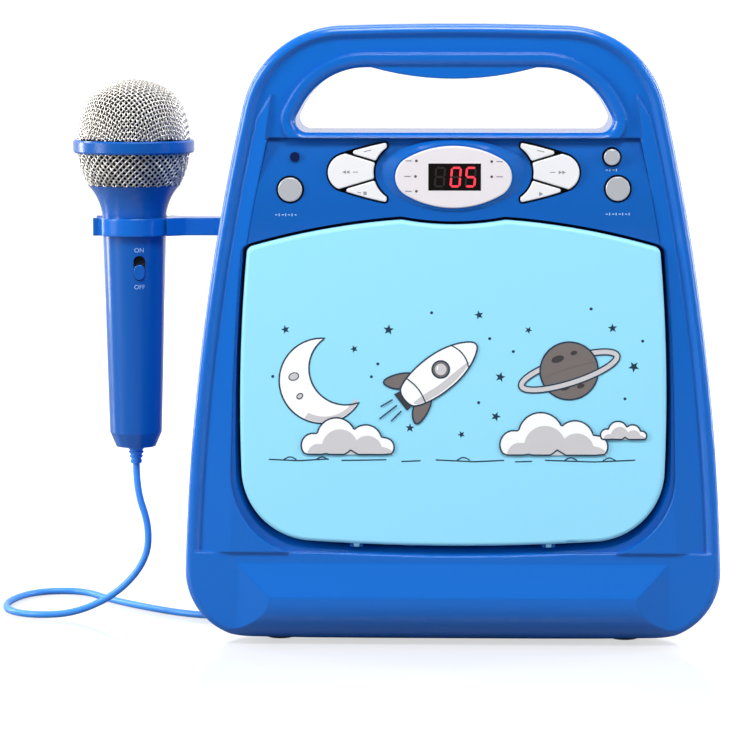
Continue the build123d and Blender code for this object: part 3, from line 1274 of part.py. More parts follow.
def mic_strain_relief():
    """Tapered sleeve at the cord's exit, with two grooves."""
    step = (HANDLE_END_Z - RELIEF_END_Z) / 4
    groove = 0.5
    points = [(0, HANDLE_END_Z), (RELIEF_R, HANDLE_END_Z)]
    for index in range(1, 4):
        z = HANDLE_END_Z - index * step
        r = RELIEF_R + (RELIEF_TIP_R - RELIEF_R) * index / 4
        points += [(r, z + 0.7), (r - groove, z + 0.4), (r - groove, z - 0.4), (r, z - 0.7)]
    points += [(RELIEF_TIP_R, RELIEF_END_Z), (0, RELIEF_END_Z)]
    return mic_turned(*points)


# ---------------------------------------------------------------- cord, coil and plug
CORD_ROUTE = (
    (MIC_X, MIC_Y, RELIEF_END_Z),
    (MIC_X, MIC_Y, 64.0),
    (MIC_X + 6.0, 5.2, 47.0),
    (MIC_X + 5.0, 5.0, 30.0),
    (MIC_X - 8.4, 5.4, 13.5),
    (MIC_X - 29.4, 5.0, 2.9),
    (MIC_X - 50.4, 4.0, CORD_Z),
    (MIC_X - 66.4, 17.0, CORD_Z),
    (MIC_X - 69.4, 43.0, CORD_Z),
    (MIC_X - 58.4, 70.0, CORD_Z),
    (MIC_X - 33.9, 73.0, CORD_Z),
    (MIC_X - 18.4, 49.0, CORD_Z),
    (MIC_X + 3.6, 26.0, CORD_Z),
    (-128.0, 8.0, CORD_Z),
    (-104.0, 3.0, CORD_Z),
    (-87.0, 18.0, CORD_Z),
    (-83.6, 42.0, CORD_Z),
    (-87.4, 65.0, CORD_Z),
    (-88.0, 82.7, CORD_Z),
)


def cord_radii():
    """Bend radius at each inner point of the route: as large as its two runs allow."""
    points = [Vector(*point) for point in CORD_ROUTE]
    radii = []
    for before, here, after in zip(points, points[1:], points[2:]):
        first, second = here - before, after - here
        turn = math.radians(first.get_angle(second))
        radii.append(0.45 * min(first.length, second.length) / math.tan(turn / 2))
    return radii


def mic_cord():
    """Free stretch of the cord as straight runs joined by tangent arcs."""
    path = FilletPolyline(*CORD_ROUTE, radius=cord_radii())
    start = Plane(origin=path @ 0, z_dir=path % 0)
    return sweep(start * Circle(CORD_D / 2), path=path), path.length


def mic_cord_coil():
    """Outer shape of the put-away coil, lying flat."""
    half = COIL_ROWS * CORD_D / 2
    x, y = COIL_CENTRE
    ring = Circle(COIL_MEAN_R + half) - Circle(COIL_MEAN_R - half)
    body = Pos(x, y, 0) * extrude(ring, amount=COIL_LAYERS * CORD_D)
    return chamfer(body.edges().sort_by(Axis.Z)[-2:], 1.0)


def mic_plug():
    """Jack plug lying beside the coil: sleeve, barrel and tipped pin."""
    outer = COIL_MEAN_R + COIL_ROWS * CORD_D / 2
    x0 = COIL_CENTRE[0] + 0.1 + math.sqrt(outer ** 2 - (outer - CORD_D) ** 2)
    y = COIL_CENTRE[1] + outer - CORD_D / 2
    x1 = x0 + PLUG_RELIEF
    x2 = x1 + PLUG_BARREL
    x3 = x2 + PLUG_PIN
    points = [(x0, 0), (x0, CORD_D / 2), (x1, 3.4), (x1, PLUG_BARREL_R - 0.8),
              (x1 + 1.2, PLUG_BARREL_R), (x2 - 2, PLUG_BARREL_R), (x2 - 1, PLUG_BARREL_R - 0.6),
              (x2, PLUG_BARREL_R - 0.6), (x2, PLUG_PIN_R), (x3 - 7.5, PLUG_PIN_R),
              (x3 - 6.5, PLUG_PIN_R - 0.9), (x3 - 5.5, PLUG_PIN_R - 0.9),
              (x3 - 4.0, PLUG_PIN_R - 0.1), (x3, 0.6), (x3, 0)]
    profile = make_face(Polyline(*points, close=True))
    return Pos(0, y, PLUG_BARREL_R) * revolve(profile, Axis.X)


# ---------------------------------------------------------------- every part, by file name
PARTS = {
    "front_cabinet": front_cabinet,
    "rear_cabinet": rear_cabinet,
    "cabinet_screws": cabinet_screws,
    "feet": feet,
    "control_panel": control_panel,
    "key_board": key_board,
    "display_bezel": display_bezel,
    "display_window": display_window,
    "sensor_lens": sensor_lens,
    "key_left_upper": lambda: wing_key(1),
    "key_left_middle": lambda: wing_key(0),
    "key_left_lower": lambda: wing_key(-1),
    "key_right_upper": lambda: mirrored(wing_key(1)),
    "key_right_middle": lambda: mirrored(wing_key(0)),
    "key_right_lower": lambda: mirrored(wing_key(-1)),
    "button_left": lambda: round_button(*BUTTON_LEFT),
    "button_right": lambda: round_button(*BUTTON_RIGHT),
    "button_small": lambda: round_button(*BUTTON_SMALL),
    "door_panel": door_panel,
    "door_liner": door_liner,
    "hinge_pins": hinge_pins,
    "door_latch": door_latch,
    "disc_deck": disc_deck,
    "sled_rods": sled_rods,
    "laser_sled": laser_sled,
    "laser_lens": laser_lens,
    "spindle_motor": spindle_motor,
    "spindle_shaft": spindle_shaft,
    "disc_hub": disc_hub,
    "speaker_frame": speaker_frame,
    "speaker_cone": speaker_cone,
    "main_board": main_board,
    "transformer": transformer,
    "mains_inlet": mains_inlet,
    "mic_jacks": mic_jacks,
    "aux_jack": aux_jack,
    "volume_pots": volume_pots,
    "mic_volume_knob": lambda: volume_knob(KNOB_XS[0]),
    "echo_knob": lambda: volume_knob(KNOB_XS[1]),
    "battery_door": battery_door,
    "battery_contacts": battery_contacts,
    "mic_holder": mic_holder,
    "mic_handle": mic_handle,
    "mic_grille_top": mic_grille_top,
    "mic_grille_bottom": mic_grille_bottom,
    "mic_ring": mic_ring,
    "mic_capsule": mic_capsule,
    "mic_strain_relief": mic_strain_relief,
    "mic_switch": mic_switch,
    "mic_cord_coil": mic_cord_coil,
    "mic_plug": mic_plug,
}


def main():
    """Write one STEP file per part and report the cord's bends."""
    os.makedirs("parts", exist_ok=True)
    for name, make in PARTS.items():
        solid = make()
        print(f"{name}: {len(solid.solids())} solid(s), valid {solid.is_valid}, "
              f"{solid.volume:.0f} mm3")
        export_step(solid, f"parts/{name}.step")
    cord, length = mic_cord()
    print("cord bend radii", [round(radius, 1) for radius in cord_radii()])
    print(f"cord {length:.1f} mm, volume {cord.volume:.1f} against "
          f"{length * math.pi * CORD_D ** 2 / 4:.1f} for its length")
    export_step(cord, "parts/mic_cord.step")


if __name__ == "__main__":
    main()
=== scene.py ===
"""Looks for a children's karaoke player with a corded microphone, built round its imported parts."""

import logging
import math
from dataclasses import dataclass, field
from enum import Enum
from typing import Any, Optional, Sequence

import bpy
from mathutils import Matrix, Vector

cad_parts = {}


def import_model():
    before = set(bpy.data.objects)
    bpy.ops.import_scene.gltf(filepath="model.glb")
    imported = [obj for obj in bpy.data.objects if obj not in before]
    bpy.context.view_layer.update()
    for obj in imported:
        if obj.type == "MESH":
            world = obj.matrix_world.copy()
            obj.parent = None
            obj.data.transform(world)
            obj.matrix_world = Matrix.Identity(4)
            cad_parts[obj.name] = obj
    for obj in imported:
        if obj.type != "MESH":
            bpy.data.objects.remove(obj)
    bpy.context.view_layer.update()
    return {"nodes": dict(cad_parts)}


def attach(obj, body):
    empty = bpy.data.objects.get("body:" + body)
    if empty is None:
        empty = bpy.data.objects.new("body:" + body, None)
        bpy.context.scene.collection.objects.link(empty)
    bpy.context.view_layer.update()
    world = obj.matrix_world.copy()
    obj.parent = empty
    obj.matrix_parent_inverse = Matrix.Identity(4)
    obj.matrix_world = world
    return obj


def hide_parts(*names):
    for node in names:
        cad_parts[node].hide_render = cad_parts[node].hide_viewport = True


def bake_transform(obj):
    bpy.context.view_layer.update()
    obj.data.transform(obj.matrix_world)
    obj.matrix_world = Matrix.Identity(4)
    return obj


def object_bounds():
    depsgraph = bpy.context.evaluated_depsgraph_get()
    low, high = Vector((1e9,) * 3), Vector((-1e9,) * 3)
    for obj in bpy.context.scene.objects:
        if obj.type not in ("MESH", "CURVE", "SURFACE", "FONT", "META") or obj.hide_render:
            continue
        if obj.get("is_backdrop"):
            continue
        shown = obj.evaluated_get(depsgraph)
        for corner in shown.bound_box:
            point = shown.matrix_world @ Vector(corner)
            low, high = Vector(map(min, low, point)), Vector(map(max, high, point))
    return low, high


log = logging.getLogger("karaoke player")

MM = 0.001
Point = tuple[float, float, float]
Flat = tuple[float, float]

CABINET = "cabinet"
MICROPHONE = "microphone"
DOOR = "door"


# ---------------------------------------------------------------- small helpers
def linear(hex_colour: str) -> tuple[float, float, float, float]:
    """Turn an sRGB hex colour into linear values.

    Args:
        hex_colour: Six hex digits after a hash sign.

    Returns:
        Linear red, green and blue, with full opacity.
    """
    parts = [int(hex_colour[i:i + 2], 16) / 255 for i in (1, 3, 5)]
    red, green, blue = [p / 12.92 if p <= 0.04045 else ((p + 0.055) / 1.055) ** 2.4 for p in parts]
    return red, green, blue, 1.0


def add_node(tree: bpy.types.NodeTree, kind: str, links: Optional[dict[Any, Any]] = None,
             inputs: Optional[dict[Any, Any]] = None, **settings: Any) -> bpy.types.Node:
    """Add a node with its settings, socket values and incoming links.

    Args:
        tree: Node tree to add to.
        kind: Blender's name for the node type.
        links: Input socket name or index to the output socket that feeds it.
        inputs: Input socket name or index to its value.
        settings: Attributes of the node itself.

    Returns:
        The new node.
    """
    node = tree.nodes.new(kind)
    for name, value in settings.items():
        setattr(node, name, value)
    for name, value in (inputs or {}).items():
        node.inputs[name].default_value = value
    for name, source in (links or {}).items():
        tree.links.new(source, node.inputs[name])
    return node


def metres(point: Sequence[float]) -> tuple[float, ...]:
    """Turn millimetre coordinates into metres."""
    return tuple(c * MM for c in point)


def placed(name: str, data: Any) -> bpy.types.Object:
    """Make an object of a mesh, curve, lamp or camera and link it to the scene."""
    made = bpy.data.objects.new(name, data)
    bpy.context.scene.collection.objects.link(made)
    return made


def smoothed(piece: bpy.types.Object) -> bpy.types.Object:
    """Let every face of a piece shade smoothly."""
    piece.data.polygons.foreach_set("use_smooth", [True] * len(piece.data.polygons))
    return piece


def mesh_object(name: str, vertices: Sequence[Point], faces: Sequence[Sequence[int]] = (),
                edges: Sequence[Sequence[int]] = (), smooth: bool = False) -> bpy.types.Object:
    """Make a linked mesh object from millimetre coordinates.

    Args:
        name: Name of the object and its mesh.
        vertices: Corner points in millimetres.
        faces: Corner indices of each face.
        edges: Corner indices of each loose edge.
        smooth: Whether the faces shade smoothly.

    Returns:
        The object, at the origin.
    """
    mesh = bpy.data.meshes.new(name)
    mesh.from_pydata([metres(v) for v in vertices], list(edges), list(faces))
    mesh.validate()
    made = placed(name, mesh)
    return smoothed(made) if smooth else made


def plain_mesh(source: bpy.types.Object, name: str) -> bpy.types.Object:
    """Replace an object by a plain mesh of its evaluated shape.

    Args:
        source: Object with modifiers or a bevelled curve. It is removed.
        name: Name for the result.

    Returns:
        A mesh object at the origin.
    """
    graph = bpy.context.evaluated_depsgraph_get()
    mesh = bpy.data.meshes.new_from_object(source.evaluated_get(graph), depsgraph=graph)
    bpy.data.objects.remove(source, do_unlink=True)
    mesh.name = name
    return placed(name, mesh)


def paint(piece: bpy.types.Object, material: bpy.types.Material) -> bpy.types.Object:
    """Give a piece one material."""
    piece.data.materials.clear()
    piece.data.materials.append(material)
    return piece


def settle(piece: bpy.types.Object, material: bpy.types.Material, body: str,
           replaced: Sequence[str] = ()) -> bpy.types.Object:
    """Dress a piece and let it ride on a body.

    Args:
        piece: The new piece.
        material: Its material.
        body: The body that carries it.
        replaced: Nodes that the piece stands for.

    Returns:
        The piece.
    """
    paint(piece, material)
    if replaced:
        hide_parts(*replaced)
    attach(piece, body)
    log.info("%s rides on %s", piece.name, body)
    return piece


# ---------------------------------------------------------------- finishes
class Pattern(Enum):
    """Surface pattern of a finish."""

    PLAIN = "plain"
    MOULDED = "moulded"
    BRUSHED = "brushed"


@dataclass(frozen=True)
class Finish:
    """One real-world finish and the shader values that give it."""

    name: str
    colour: str
    roughness: float = 0.35
    metallic: float = 0.0
    ior: float = 1.46
    coat: float = 0.0
    glow: float = 0.0
    pattern: Pattern = Pattern.MOULDED
    grain_mm: float = 0.35
    grain_depth: float = 0.05
    # Optional depth in millimetres and a near-black colour for faces behind that depth: painted
    # shade in the wells round keys and buttons.
    skirt: Optional[tuple[float, str]] = None
    soft_edge_mm: float = 0.0

    RELIEF_MM = 0.05
    BRUSH_STRETCH = (1.0, 1.0, 14.0)
    EVEN_STRETCH = (1.0, 1.0, 1.0)
    EDGE_SAMPLES = 6

    def base(self, tree: bpy.types.NodeTree, shader: bpy.types.Node) -> None:
        """Set the colour, with painted shade: darker behind the skirt depth where one is given.

        Args:
            tree: The material's node tree.
            shader: Its main shader.
        """
        if self.skirt is None:
            shader.inputs["Base Color"].default_value = linear(self.colour)
            return
        # Faces further back than the skirt depth get the dark colour: painted shade.
        depth, dark = self.skirt
        place = add_node(tree, "ShaderNodeTexCoord")
        split = add_node(tree, "ShaderNodeSeparateXYZ", {0: place.outputs["Object"]})
        behind = add_node(tree, "ShaderNodeMath", {0: split.outputs["Y"]}, {1: depth * MM},
                          operation="GREATER_THAN")
        mix = add_node(tree, "ShaderNodeMix", {0: behind.outputs[0]},
                       {6: linear(self.colour), 7: linear(dark)}, data_type="RGBA")
        tree.links.new(mix.outputs[2], shader.inputs["Base Color"])

    def build(self) -> bpy.types.Material:
        """Make the material.

        Returns:
            A Blender material with the finish's name.
        """
        material = bpy.data.materials.new(self.name)
        material.use_nodes = True
        tree = material.node_tree
        shader = tree.nodes["Principled BSDF"]
        self.base(tree, shader)
        shader.inputs["Roughness"].default_value = self.roughness
        shader.inputs["Metallic"].default_value = self.metallic
        if not self.metallic:
            shader.inputs["IOR"].default_value = self.ior
        shader.inputs["Coat Weight"].default_value = self.coat
        if self.glow:
            shader.inputs["Emission Color"].default_value = linear(self.colour)
            shader.inputs["Emission Strength"].default_value = self.glow
        if self.pattern is not Pattern.PLAIN:
            self.grain(tree, shader)
        return material

    def grain(self, tree: bpy.types.NodeTree, shader: bpy.types.Node) -> None:
        """Add the fine surface relief of the pattern.

        Args:
            tree: The material's node tree.
            shader: Its main shader.
        """
        place = add_node(tree, "ShaderNodeTexCoord")
        brushed = self.pattern is Pattern.BRUSHED
        stretch = self.BRUSH_STRETCH if brushed else self.EVEN_STRETCH
        mapped = add_node(tree, "ShaderNodeMapping", {"Vector": place.outputs["Object"]},
                          {"Scale": stretch})
        noise = add_node(tree, "ShaderNodeTexNoise", {"Vector": mapped.outputs[0]},
                         {"Scale": 1.0 / (self.grain_mm * MM), "Detail": 2.0})
        bump = add_node(tree, "ShaderNodeBump", {"Height": noise.outputs[0]},
                        {"Strength": self.grain_depth, "Distance": self.RELIEF_MM * MM})
        if self.soft_edge_mm:
            edge = add_node(tree, "ShaderNodeBevel", inputs={"Radius": self.soft_edge_mm * MM},
                            samples=self.EDGE_SAMPLES)
            tree.links.new(edge.outputs[0], bump.inputs["Normal"])
        tree.links.new(bump.outputs[0], shader.inputs["Normal"])


# ABS moulded against polished steel: an even blue with soft, wide highlights
BODY_ABS = Finish("blue ABS, satin polish", "#0566C6", roughness=0.25, coat=0.3, grain_mm=0.6,
                  soft_edge_mm=1.4)
# Same blue ABS as the cabinet, painted darker as the shade of the control panel and its knobs, which
# face the lamps differently.
SHADED_PANEL_ABS = Finish("control panel blue ABS painted darker as shade", "#055CB4", roughness=0.27, coat=0.2)
# ABS sheet with a printed face, flatter than the cabinet so that the print reads well
DOOR_ABS = Finish("pale blue printed ABS", "#97E1FE", roughness=0.42, grain_depth=0.02)
LINER_ABS = Finish("dark blue ABS inside the bay", "#0E3F86", roughness=0.5)
# Key tops moulded in white ABS; their sides behind the skirt depth are painted near-black as shade
# in the wells round them
KEY_ABS = Finish("white ABS key tops over painted shade", "#E9E9EC", roughness=0.38,
                 skirt=(-60.6, "#05070C"))
# Round buttons have a silver-grey paint under their gloss; their sides behind the skirt depth are
# painted near-black as shade in the wells round them
BUTTON_PAINT = Finish("silver-grey paint on round buttons", "#C3C6CC", roughness=0.3,
                      metallic=0.25, coat=0.3, skirt=(-60.6, "#05070C"), pattern=Pattern.PLAIN)
TRIM_ABS = Finish("white ABS display trim", "#E4DFE3", roughness=0.33)
SMOKED_ACRYLIC = Finish("smoked acrylic", "#0A0606", roughness=0.08, ior=1.49,
                        pattern=Pattern.PLAIN)
SENSOR_ACRYLIC = Finish("dark blue infrared-pass acrylic", "#081A4A", roughness=0.15, ior=1.49,
                        pattern=Pattern.PLAIN)
BLACK_ABS = Finish("black ABS", "#141416", roughness=0.5)
SOLDER_MASK = Finish("green solder mask", "#155B33", roughness=0.35)
MILD_STEEL = Finish("drawn mild steel", "#A9ABAE", roughness=0.32, metallic=1.0,
                    pattern=Pattern.BRUSHED, grain_mm=0.15)
ZINC_PLATE = Finish("zinc-plated steel", "#B9BCC2", roughness=0.28, metallic=1.0)
# Woven steel wire, nickel plated: bright on the crowns of the wires, dark between them
WIRE = Finish("nickel-plated steel wire", "#CFCBC5", roughness=0.34, metallic=1.0,
              pattern=Pattern.PLAIN)
FOAM = Finish("dark foam behind the mesh", "#17181B", roughness=0.9, grain_mm=0.8,
              grain_depth=0.5)
CONE_PAPER = Finish("pressed black cone paper", "#1B1B1D", roughness=0.85, grain_mm=0.5,
                    grain_depth=0.3)
RUBBER = Finish("black rubber", "#101012", roughness=0.7)
# Same blue ABS as the cabinet, painted darker as the shade on the microphone's round handle, ring
# and switch.
SHADED_MIC_ABS = Finish("microphone blue ABS painted darker as shade", "#0557AB", roughness=0.27, coat=0.2)
CORD_VINYL = Finish("blue vinyl cord jacket", "#3D8FEA", roughness=0.38, grain_mm=0.5)
NICKEL = Finish("polished nickel plate", "#C9C8C4", roughness=0.15, metallic=1.0,
                pattern=Pattern.PLAIN)
COATED_GLASS = Finish("coated lens glass", "#4A4A78", roughness=0.03, ior=1.6,
                      pattern=Pattern.PLAIN)
LIT_SEGMENT = Finish("lit red display segment", "#E0303E", roughness=0.5, glow=0.9,
                     pattern=Pattern.PLAIN)
UNLIT_SEGMENT = Finish("unlit display segment", "#1E1413", roughness=0.5, pattern=Pattern.PLAIN)
INDICATOR = Finish("small indicator lens", "#5A3F45", roughness=0.3, pattern=Pattern.PLAIN)
PRINT_GREY = Finish("grey pad print", "#8F9096", roughness=0.6, pattern=Pattern.PLAIN)
PRINT_PALE = Finish("pale blue pad print", "#A9CDF3", roughness=0.6, pattern=Pattern.PLAIN)
INK_LINE = Finish("dark screen-printed line", "#17344A", roughness=0.5, pattern=Pattern.PLAIN)
INK_WHITE = Finish("white screen-printed fill", "#FCFCFD", roughness=0.5, pattern=Pattern.PLAIN)
INK_SHADE = Finish("light grey screen-printed shade", "#CDCBCE", roughness=0.5,
                   pattern=Pattern.PLAIN)
INK_STONE = Finish("warm grey screen-printed fill", "#756D6B", roughness=0.5,
                   pattern=Pattern.PLAIN)
INK_COAL = Finish("dark grey screen-printed fill", "#3E3A3B", roughness=0.5,
                  pattern=Pattern.PLAIN)


class Palette:
    """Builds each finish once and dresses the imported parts."""

    def __init__(self) -> None:
        """Start with no material built."""
        self.made: dict[str, bpy.types.Material] = {}

    def get(self, finish: Finish) -> bpy.types.Material:
        """Return the finish's material, building it the first time."""
        if finish.name not in self.made:
            self.made[finish.name] = finish.build()
        return self.made[finish.name]

    def dress(self, nodes: dict[str, bpy.types.Object], wardrobe: dict[Finish, str]) -> None:
        """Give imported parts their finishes.

        Args:
            nodes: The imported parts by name.
            wardrobe: Finish to the parts' names, separated by blanks.
        """
        for finish, names in wardrobe.items():
            for name in names.split():
                for slot in nodes[name].material_slots:
                    slot.material = self.get(finish)
                log.info("%s is %s", name, finish.name)


WARDROBE: dict[Finish, str] = {
    BODY_ABS: "front_cabinet rear_cabinet battery_door mic_holder",
    SHADED_PANEL_ABS: "control_panel mic_volume_knob echo_knob",
    DOOR_ABS: "door_panel",
    LINER_ABS: "door_liner disc_deck",
    KEY_ABS: "key_left_upper key_left_middle key_left_lower key_right_upper key_right_middle "
             "key_right_lower",
    BUTTON_PAINT: "button_left button_right button_small",
    TRIM_ABS: "display_bezel",
    SMOKED_ACRYLIC: "display_window",
    SENSOR_ACRYLIC: "sensor_lens",
    BLACK_ABS: "door_latch laser_sled disc_hub mains_inlet mic_jacks aux_jack mic_capsule",
    SOLDER_MASK: "key_board main_board",
    MILD_STEEL: "hinge_pins sled_rods spindle_shaft transformer",
    ZINC_PLATE: "cabinet_screws spindle_motor speaker_frame volume_pots",
    CONE_PAPER: "speaker_cone",
    RUBBER: "feet",
    SHADED_MIC_ABS: "mic_handle mic_ring mic_switch",
    CORD_VINYL: "mic_strain_relief",
    NICKEL: "battery_contacts mic_plug",
    COATED_GLASS: "laser_lens",
}


# ---------------------------------------------------------------- geometry node trees
def tube_tree(name: str, material: bpy.types.Material) -> bpy.types.GeometryNodeTree:
    """Node tree that turns chains of edges into round wires.

    Args:
        name: Name of the tree.
        material: Material of the wires.

    Returns:
        The tree, with the inputs Radius and Sides.
    """
    tree = bpy.data.node_groups.new(name, "GeometryNodeTree")
    face = tree.interface
    face.new_socket("Geometry", in_out="INPUT", socket_type="NodeSocketGeometry")
    face.new_socket("Radius", in_out="INPUT", socket_type="NodeSocketFloat")
    face.new_socket("Sides", in_out="INPUT", socket_type="NodeSocketInt")
    face.new_socket("Geometry", in_out="OUTPUT", socket_type="NodeSocketGeometry")
    given = add_node(tree, "NodeGroupInput")
    chains = add_node(tree, "GeometryNodeMeshToCurve", {"Mesh": given.outputs["Geometry"]})
    circle = add_node(tree, "GeometryNodeCurvePrimitiveCircle",
                      {"Resolution": given.outputs["Sides"], "Radius": given.outputs["Radius"]})
    wires = add_node(tree, "GeometryNodeCurveToMesh",
                     {"Curve": chains.outputs[0], "Profile Curve": circle.outputs[0]},
                     {"Fill Caps": True})
    solid = add_node(tree, "GeometryNodeRealizeInstances", {"Geometry": wires.outputs[0]})
    dressed = add_node(tree, "GeometryNodeSetMaterial", {"Geometry": solid.outputs[0]},
                       {"Material": material})
    add_node(tree, "NodeGroupOutput", {"Geometry": dressed.outputs[0]})
    return tree


def grow(seed: bpy.types.Object, tree: bpy.types.GeometryNodeTree,
         values: dict[str, float], name: str) -> bpy.types.Object:
    """Run a node tree on a seed mesh and keep the result as a plain mesh.

    Args:
        seed: Mesh of points or chains. It is removed.
        tree: Geometry node tree.
        values: Input name to value.
        name: Name of the result.

    Returns:
        The finished mesh object.
    """
    modifier = seed.modifiers.new("nodes", "NODES")
    modifier.node_group = tree
    for item in tree.interface.items_tree:
        if item.item_type == "SOCKET" and item.in_out == "INPUT" and item.name in values:
            modifier[item.identifier] = values[item.name]
    return plain_mesh(seed, name)


def curved(points: Sequence[Flat], rounds: int = 3, closed: bool = True) -> list[Flat]:
    """Round a line off by cutting its corners.

    Args:
        points: The line's corners.
        rounds: How often the corners are cut.
        closed: Whether the line meets itself.

    Returns:
        The finer line.
    """
    line = list(points)
    for _ in range(rounds):
        pairs = list(zip(line, line[1:] + (line[:1] if closed else [])))
        cut = [] if closed else [line[0]]
        for (x0, z0), (x1, z1) in pairs:
            cut += [(0.75 * x0 + 0.25 * x1, 0.75 * z0 + 0.25 * z1),
                    (0.25 * x0 + 0.75 * x1, 0.25 * z0 + 0.75 * z1)]
        line = cut if closed else cut + [line[-1]]
    return line


def length_of(line: Sequence[Flat]) -> float:
    """Length of a line, from its first point to its last."""
    return sum(math.hypot(b[0] - a[0], b[1] - a[1]) for a, b in zip(line, line[1:]))


# ---------------------------------------------------------------- microphone
@dataclass
class Microphone:
    """Woven ball grille, foam and switch marks of the microphone, with painted shade in the switch's
    recess.
    """

    palette: Palette
    axis: Flat = (-154.6, 5.0)
    profile: tuple[Flat, ...] = ((0.0, 264.3), (9.0, 263.05), (17.4, 259.35), (21.4, 255.8),
                                 (24.2, 251.0), (26.3, 243.5), (27.2, 235.3))
    skirt: tuple[Flat, ...] = ((27.2, 229.1), (25.6, 221.0), (22.3, 213.4))
    pitch: float = 2.15
    wire_r: float = 0.42
    steps_per_pitch: int = 2
    foam_gap: float = 1.6
    foam_sides: int = 48
    handle_low: Flat = (12.6, 93.0)
    handle_top: Flat = (15.3, 189.3)
    switch: Flat = (3.6, 174.0)
    slot_half: Flat = (2.76, 5.96)
    slot_depth: float = 3.0
    slot_sides: int = 48
    # Gap and sink of the near-black sheet that paints shade into the switch's recess.
    shade_sheet_gap: float = 0.04
    shade_sheet_sunk: float = 0.2
    ink_gap: float = 0.07
    ink_depth: float = 0.02
    font_share: float = 1.4

    def along(self, points: Sequence[Flat], reach: float) -> tuple[float, float, float, float]:
        """Point and outward normal on a profile at an arc length.

        Args:
            points: Profile as (radius, height).
            reach: Distance along it from its first point.

        Returns:
            Radius, height, and the normal's radial and vertical parts.
        """
        for (r0, z0), (r1, z1) in zip(points, points[1:]):
            run = math.hypot(r1 - r0, z1 - z0)
            if reach <= run or (r1, z1) == points[-1]:
                share = min(reach / run, 1.0)
                return (r0 + share * (r1 - r0), z0 + share * (z1 - z0),
                        -(z1 - z0) / run, (r1 - r0) / run)
            reach -= run
        raise ValueError("profile has no length")

    def lift(self, r: float, z: float, nr: float, nz: float, turn: float, off: float) -> Point:
        """Place a profile point at an angle about the axis, moved along its normal."""
        moved = r + nr * off
        return (self.axis[0] + moved * math.cos(turn), self.axis[1] + moved * math.sin(turn),
                z + nz * off)

    def strand(self, line: Sequence[Flat], reach: float, turn: float, weave: float) -> Point:
        """Place a wire's point on a profile, further in or out as the weave goes."""
        r, z, nr, nz = self.along(line, reach)
        return self.lift(r, z, nr, nz, turn, -self.wire_r * (1.2 - 0.8 * weave))

    def cap_wires(self) -> bpy.types.Object:
        """Square weave drawn flat and laid over the ball from its top.

        Returns:
            A mesh of edge chains, one for each wire.
        """
        line = curved(self.profile, closed=False)
        total = length_of(line)
        count = int(total / self.pitch)
        step = self.pitch / self.steps_per_pitch
        vertices: list[Point] = []
        edges: list[tuple[int, int]] = []
        for crossed in (0, 1):
            for row in range(-count, count + 1):
                fixed = (row + 0.5) * self.pitch
                if abs(fixed) >= total:
                    continue
                half = math.sqrt(total ** 2 - fixed ** 2)
                steps = int(half / step)
                previous = None
                for index in range(-steps, steps + 1):
                    free = index * step
                    u, v = (free, fixed) if crossed else (fixed, free)
                    weave = math.cos(math.pi * (free / self.pitch - 0.5 + row + crossed))
                    turn = math.atan2(v, u) + math.pi / 4
                    vertices.append(self.strand(line, math.hypot(u, v), turn, weave))
                    here = len(vertices) - 1
                    if previous is not None:
                        edges.append((previous, here))
                    previous = here
        return mesh_object("upper_weave", vertices, edges=edges)

    def skirt_wires(self) -> bpy.types.Object:
        """Diagonal weave of the lower part, as crossing helices.

        Returns:
            A mesh of edge chains, one for each wire.
        """
        line = curved(self.skirt, closed=False)
        total = length_of(line)
        mean_r = sum(r for r, _ in line) / len(line)
        wires = int(2 * math.pi * mean_r / (self.pitch * math.sqrt(2)))
        steps = int(total / (self.pitch / math.sqrt(2))) * self.steps_per_pitch
        vertices: list[Point] = []
        edges: list[tuple[int, int]] = []
        for side in (-1, 1):
            for wire in range(wires):
                start = 2 * math.pi * wire / wires
                for index in range(steps + 1):
                    reach = total * index / steps
                    turn = start + side * reach / mean_r
                    weave = side * math.cos(math.pi * (index / self.steps_per_pitch + wire))
                    vertices.append(self.strand(line, reach, turn, weave))
                    if index:
                        edges.append((len(vertices) - 2, len(vertices) - 1))
        return mesh_object("lower_weave", vertices, edges=edges)

    def foam(self) -> bpy.types.Object:
        """Foam ball that fills the mesh and hides its inside."""
        outline = curved(self.profile, closed=False) + curved(self.skirt, closed=False)
        rows = [(max(r - self.foam_gap, 0.0), z - (self.foam_gap if r < 4 else 0.0))
                for r, z in outline]
        around = self.foam_sides
        vertices: list[Point] = [(self.axis[0], self.axis[1], rows[0][1])]
        for r, z in rows[1:]:
            vertices += [self.lift(r, z, 1, 0, 2 * math.pi * k / around, 0) for k in range(around)]
        vertices.append((self.axis[0], self.axis[1], rows[-1][1]))
        faces: list[tuple[int, ...]] = []
        for k in range(around):
            after = (k + 1) % around
            faces.append((0, 1 + k, 1 + after))
            for row in range(len(rows) - 2):
                a = 1 + row * around
                faces.append((a + k, a + around + k, a + around + after, a + after))
            last = 1 + (len(rows) - 2) * around
            faces.append((last + after, last + k, len(vertices) - 1))
        return mesh_object("mic_foam", vertices, faces, smooth=True)

    def build(self) -> None:
        """Make the grille's weave and foam, the switch's printed words and the painted shade in its
        recess.
        """
        wire = self.palette.get(WIRE)
        tree = tube_tree("woven wire", wire)
        sizes = {"Radius": self.wire_r * MM, "Sides": 5}
        upper = grow(self.cap_wires(), tree, sizes, "mic_mesh_upper")
        lower = grow(self.skirt_wires(), tree, sizes, "mic_mesh_lower")
        for piece, node in ((upper, "mic_grille_top"), (lower, "mic_grille_bottom")):
            settle(smoothed(piece), wire, MICROPHONE, (node,))
        settle(self.foam(), self.palette.get(FOAM), MICROPHONE)
        for word, z in (("ON", 182.6), ("OFF", 164.8)):
            self.word(word, z)
        # Near-black sheet in the switch's recess: painted shade.
        settle(self.slot_painted_shade(), self.palette.get(RUBBER), MICROPHONE)

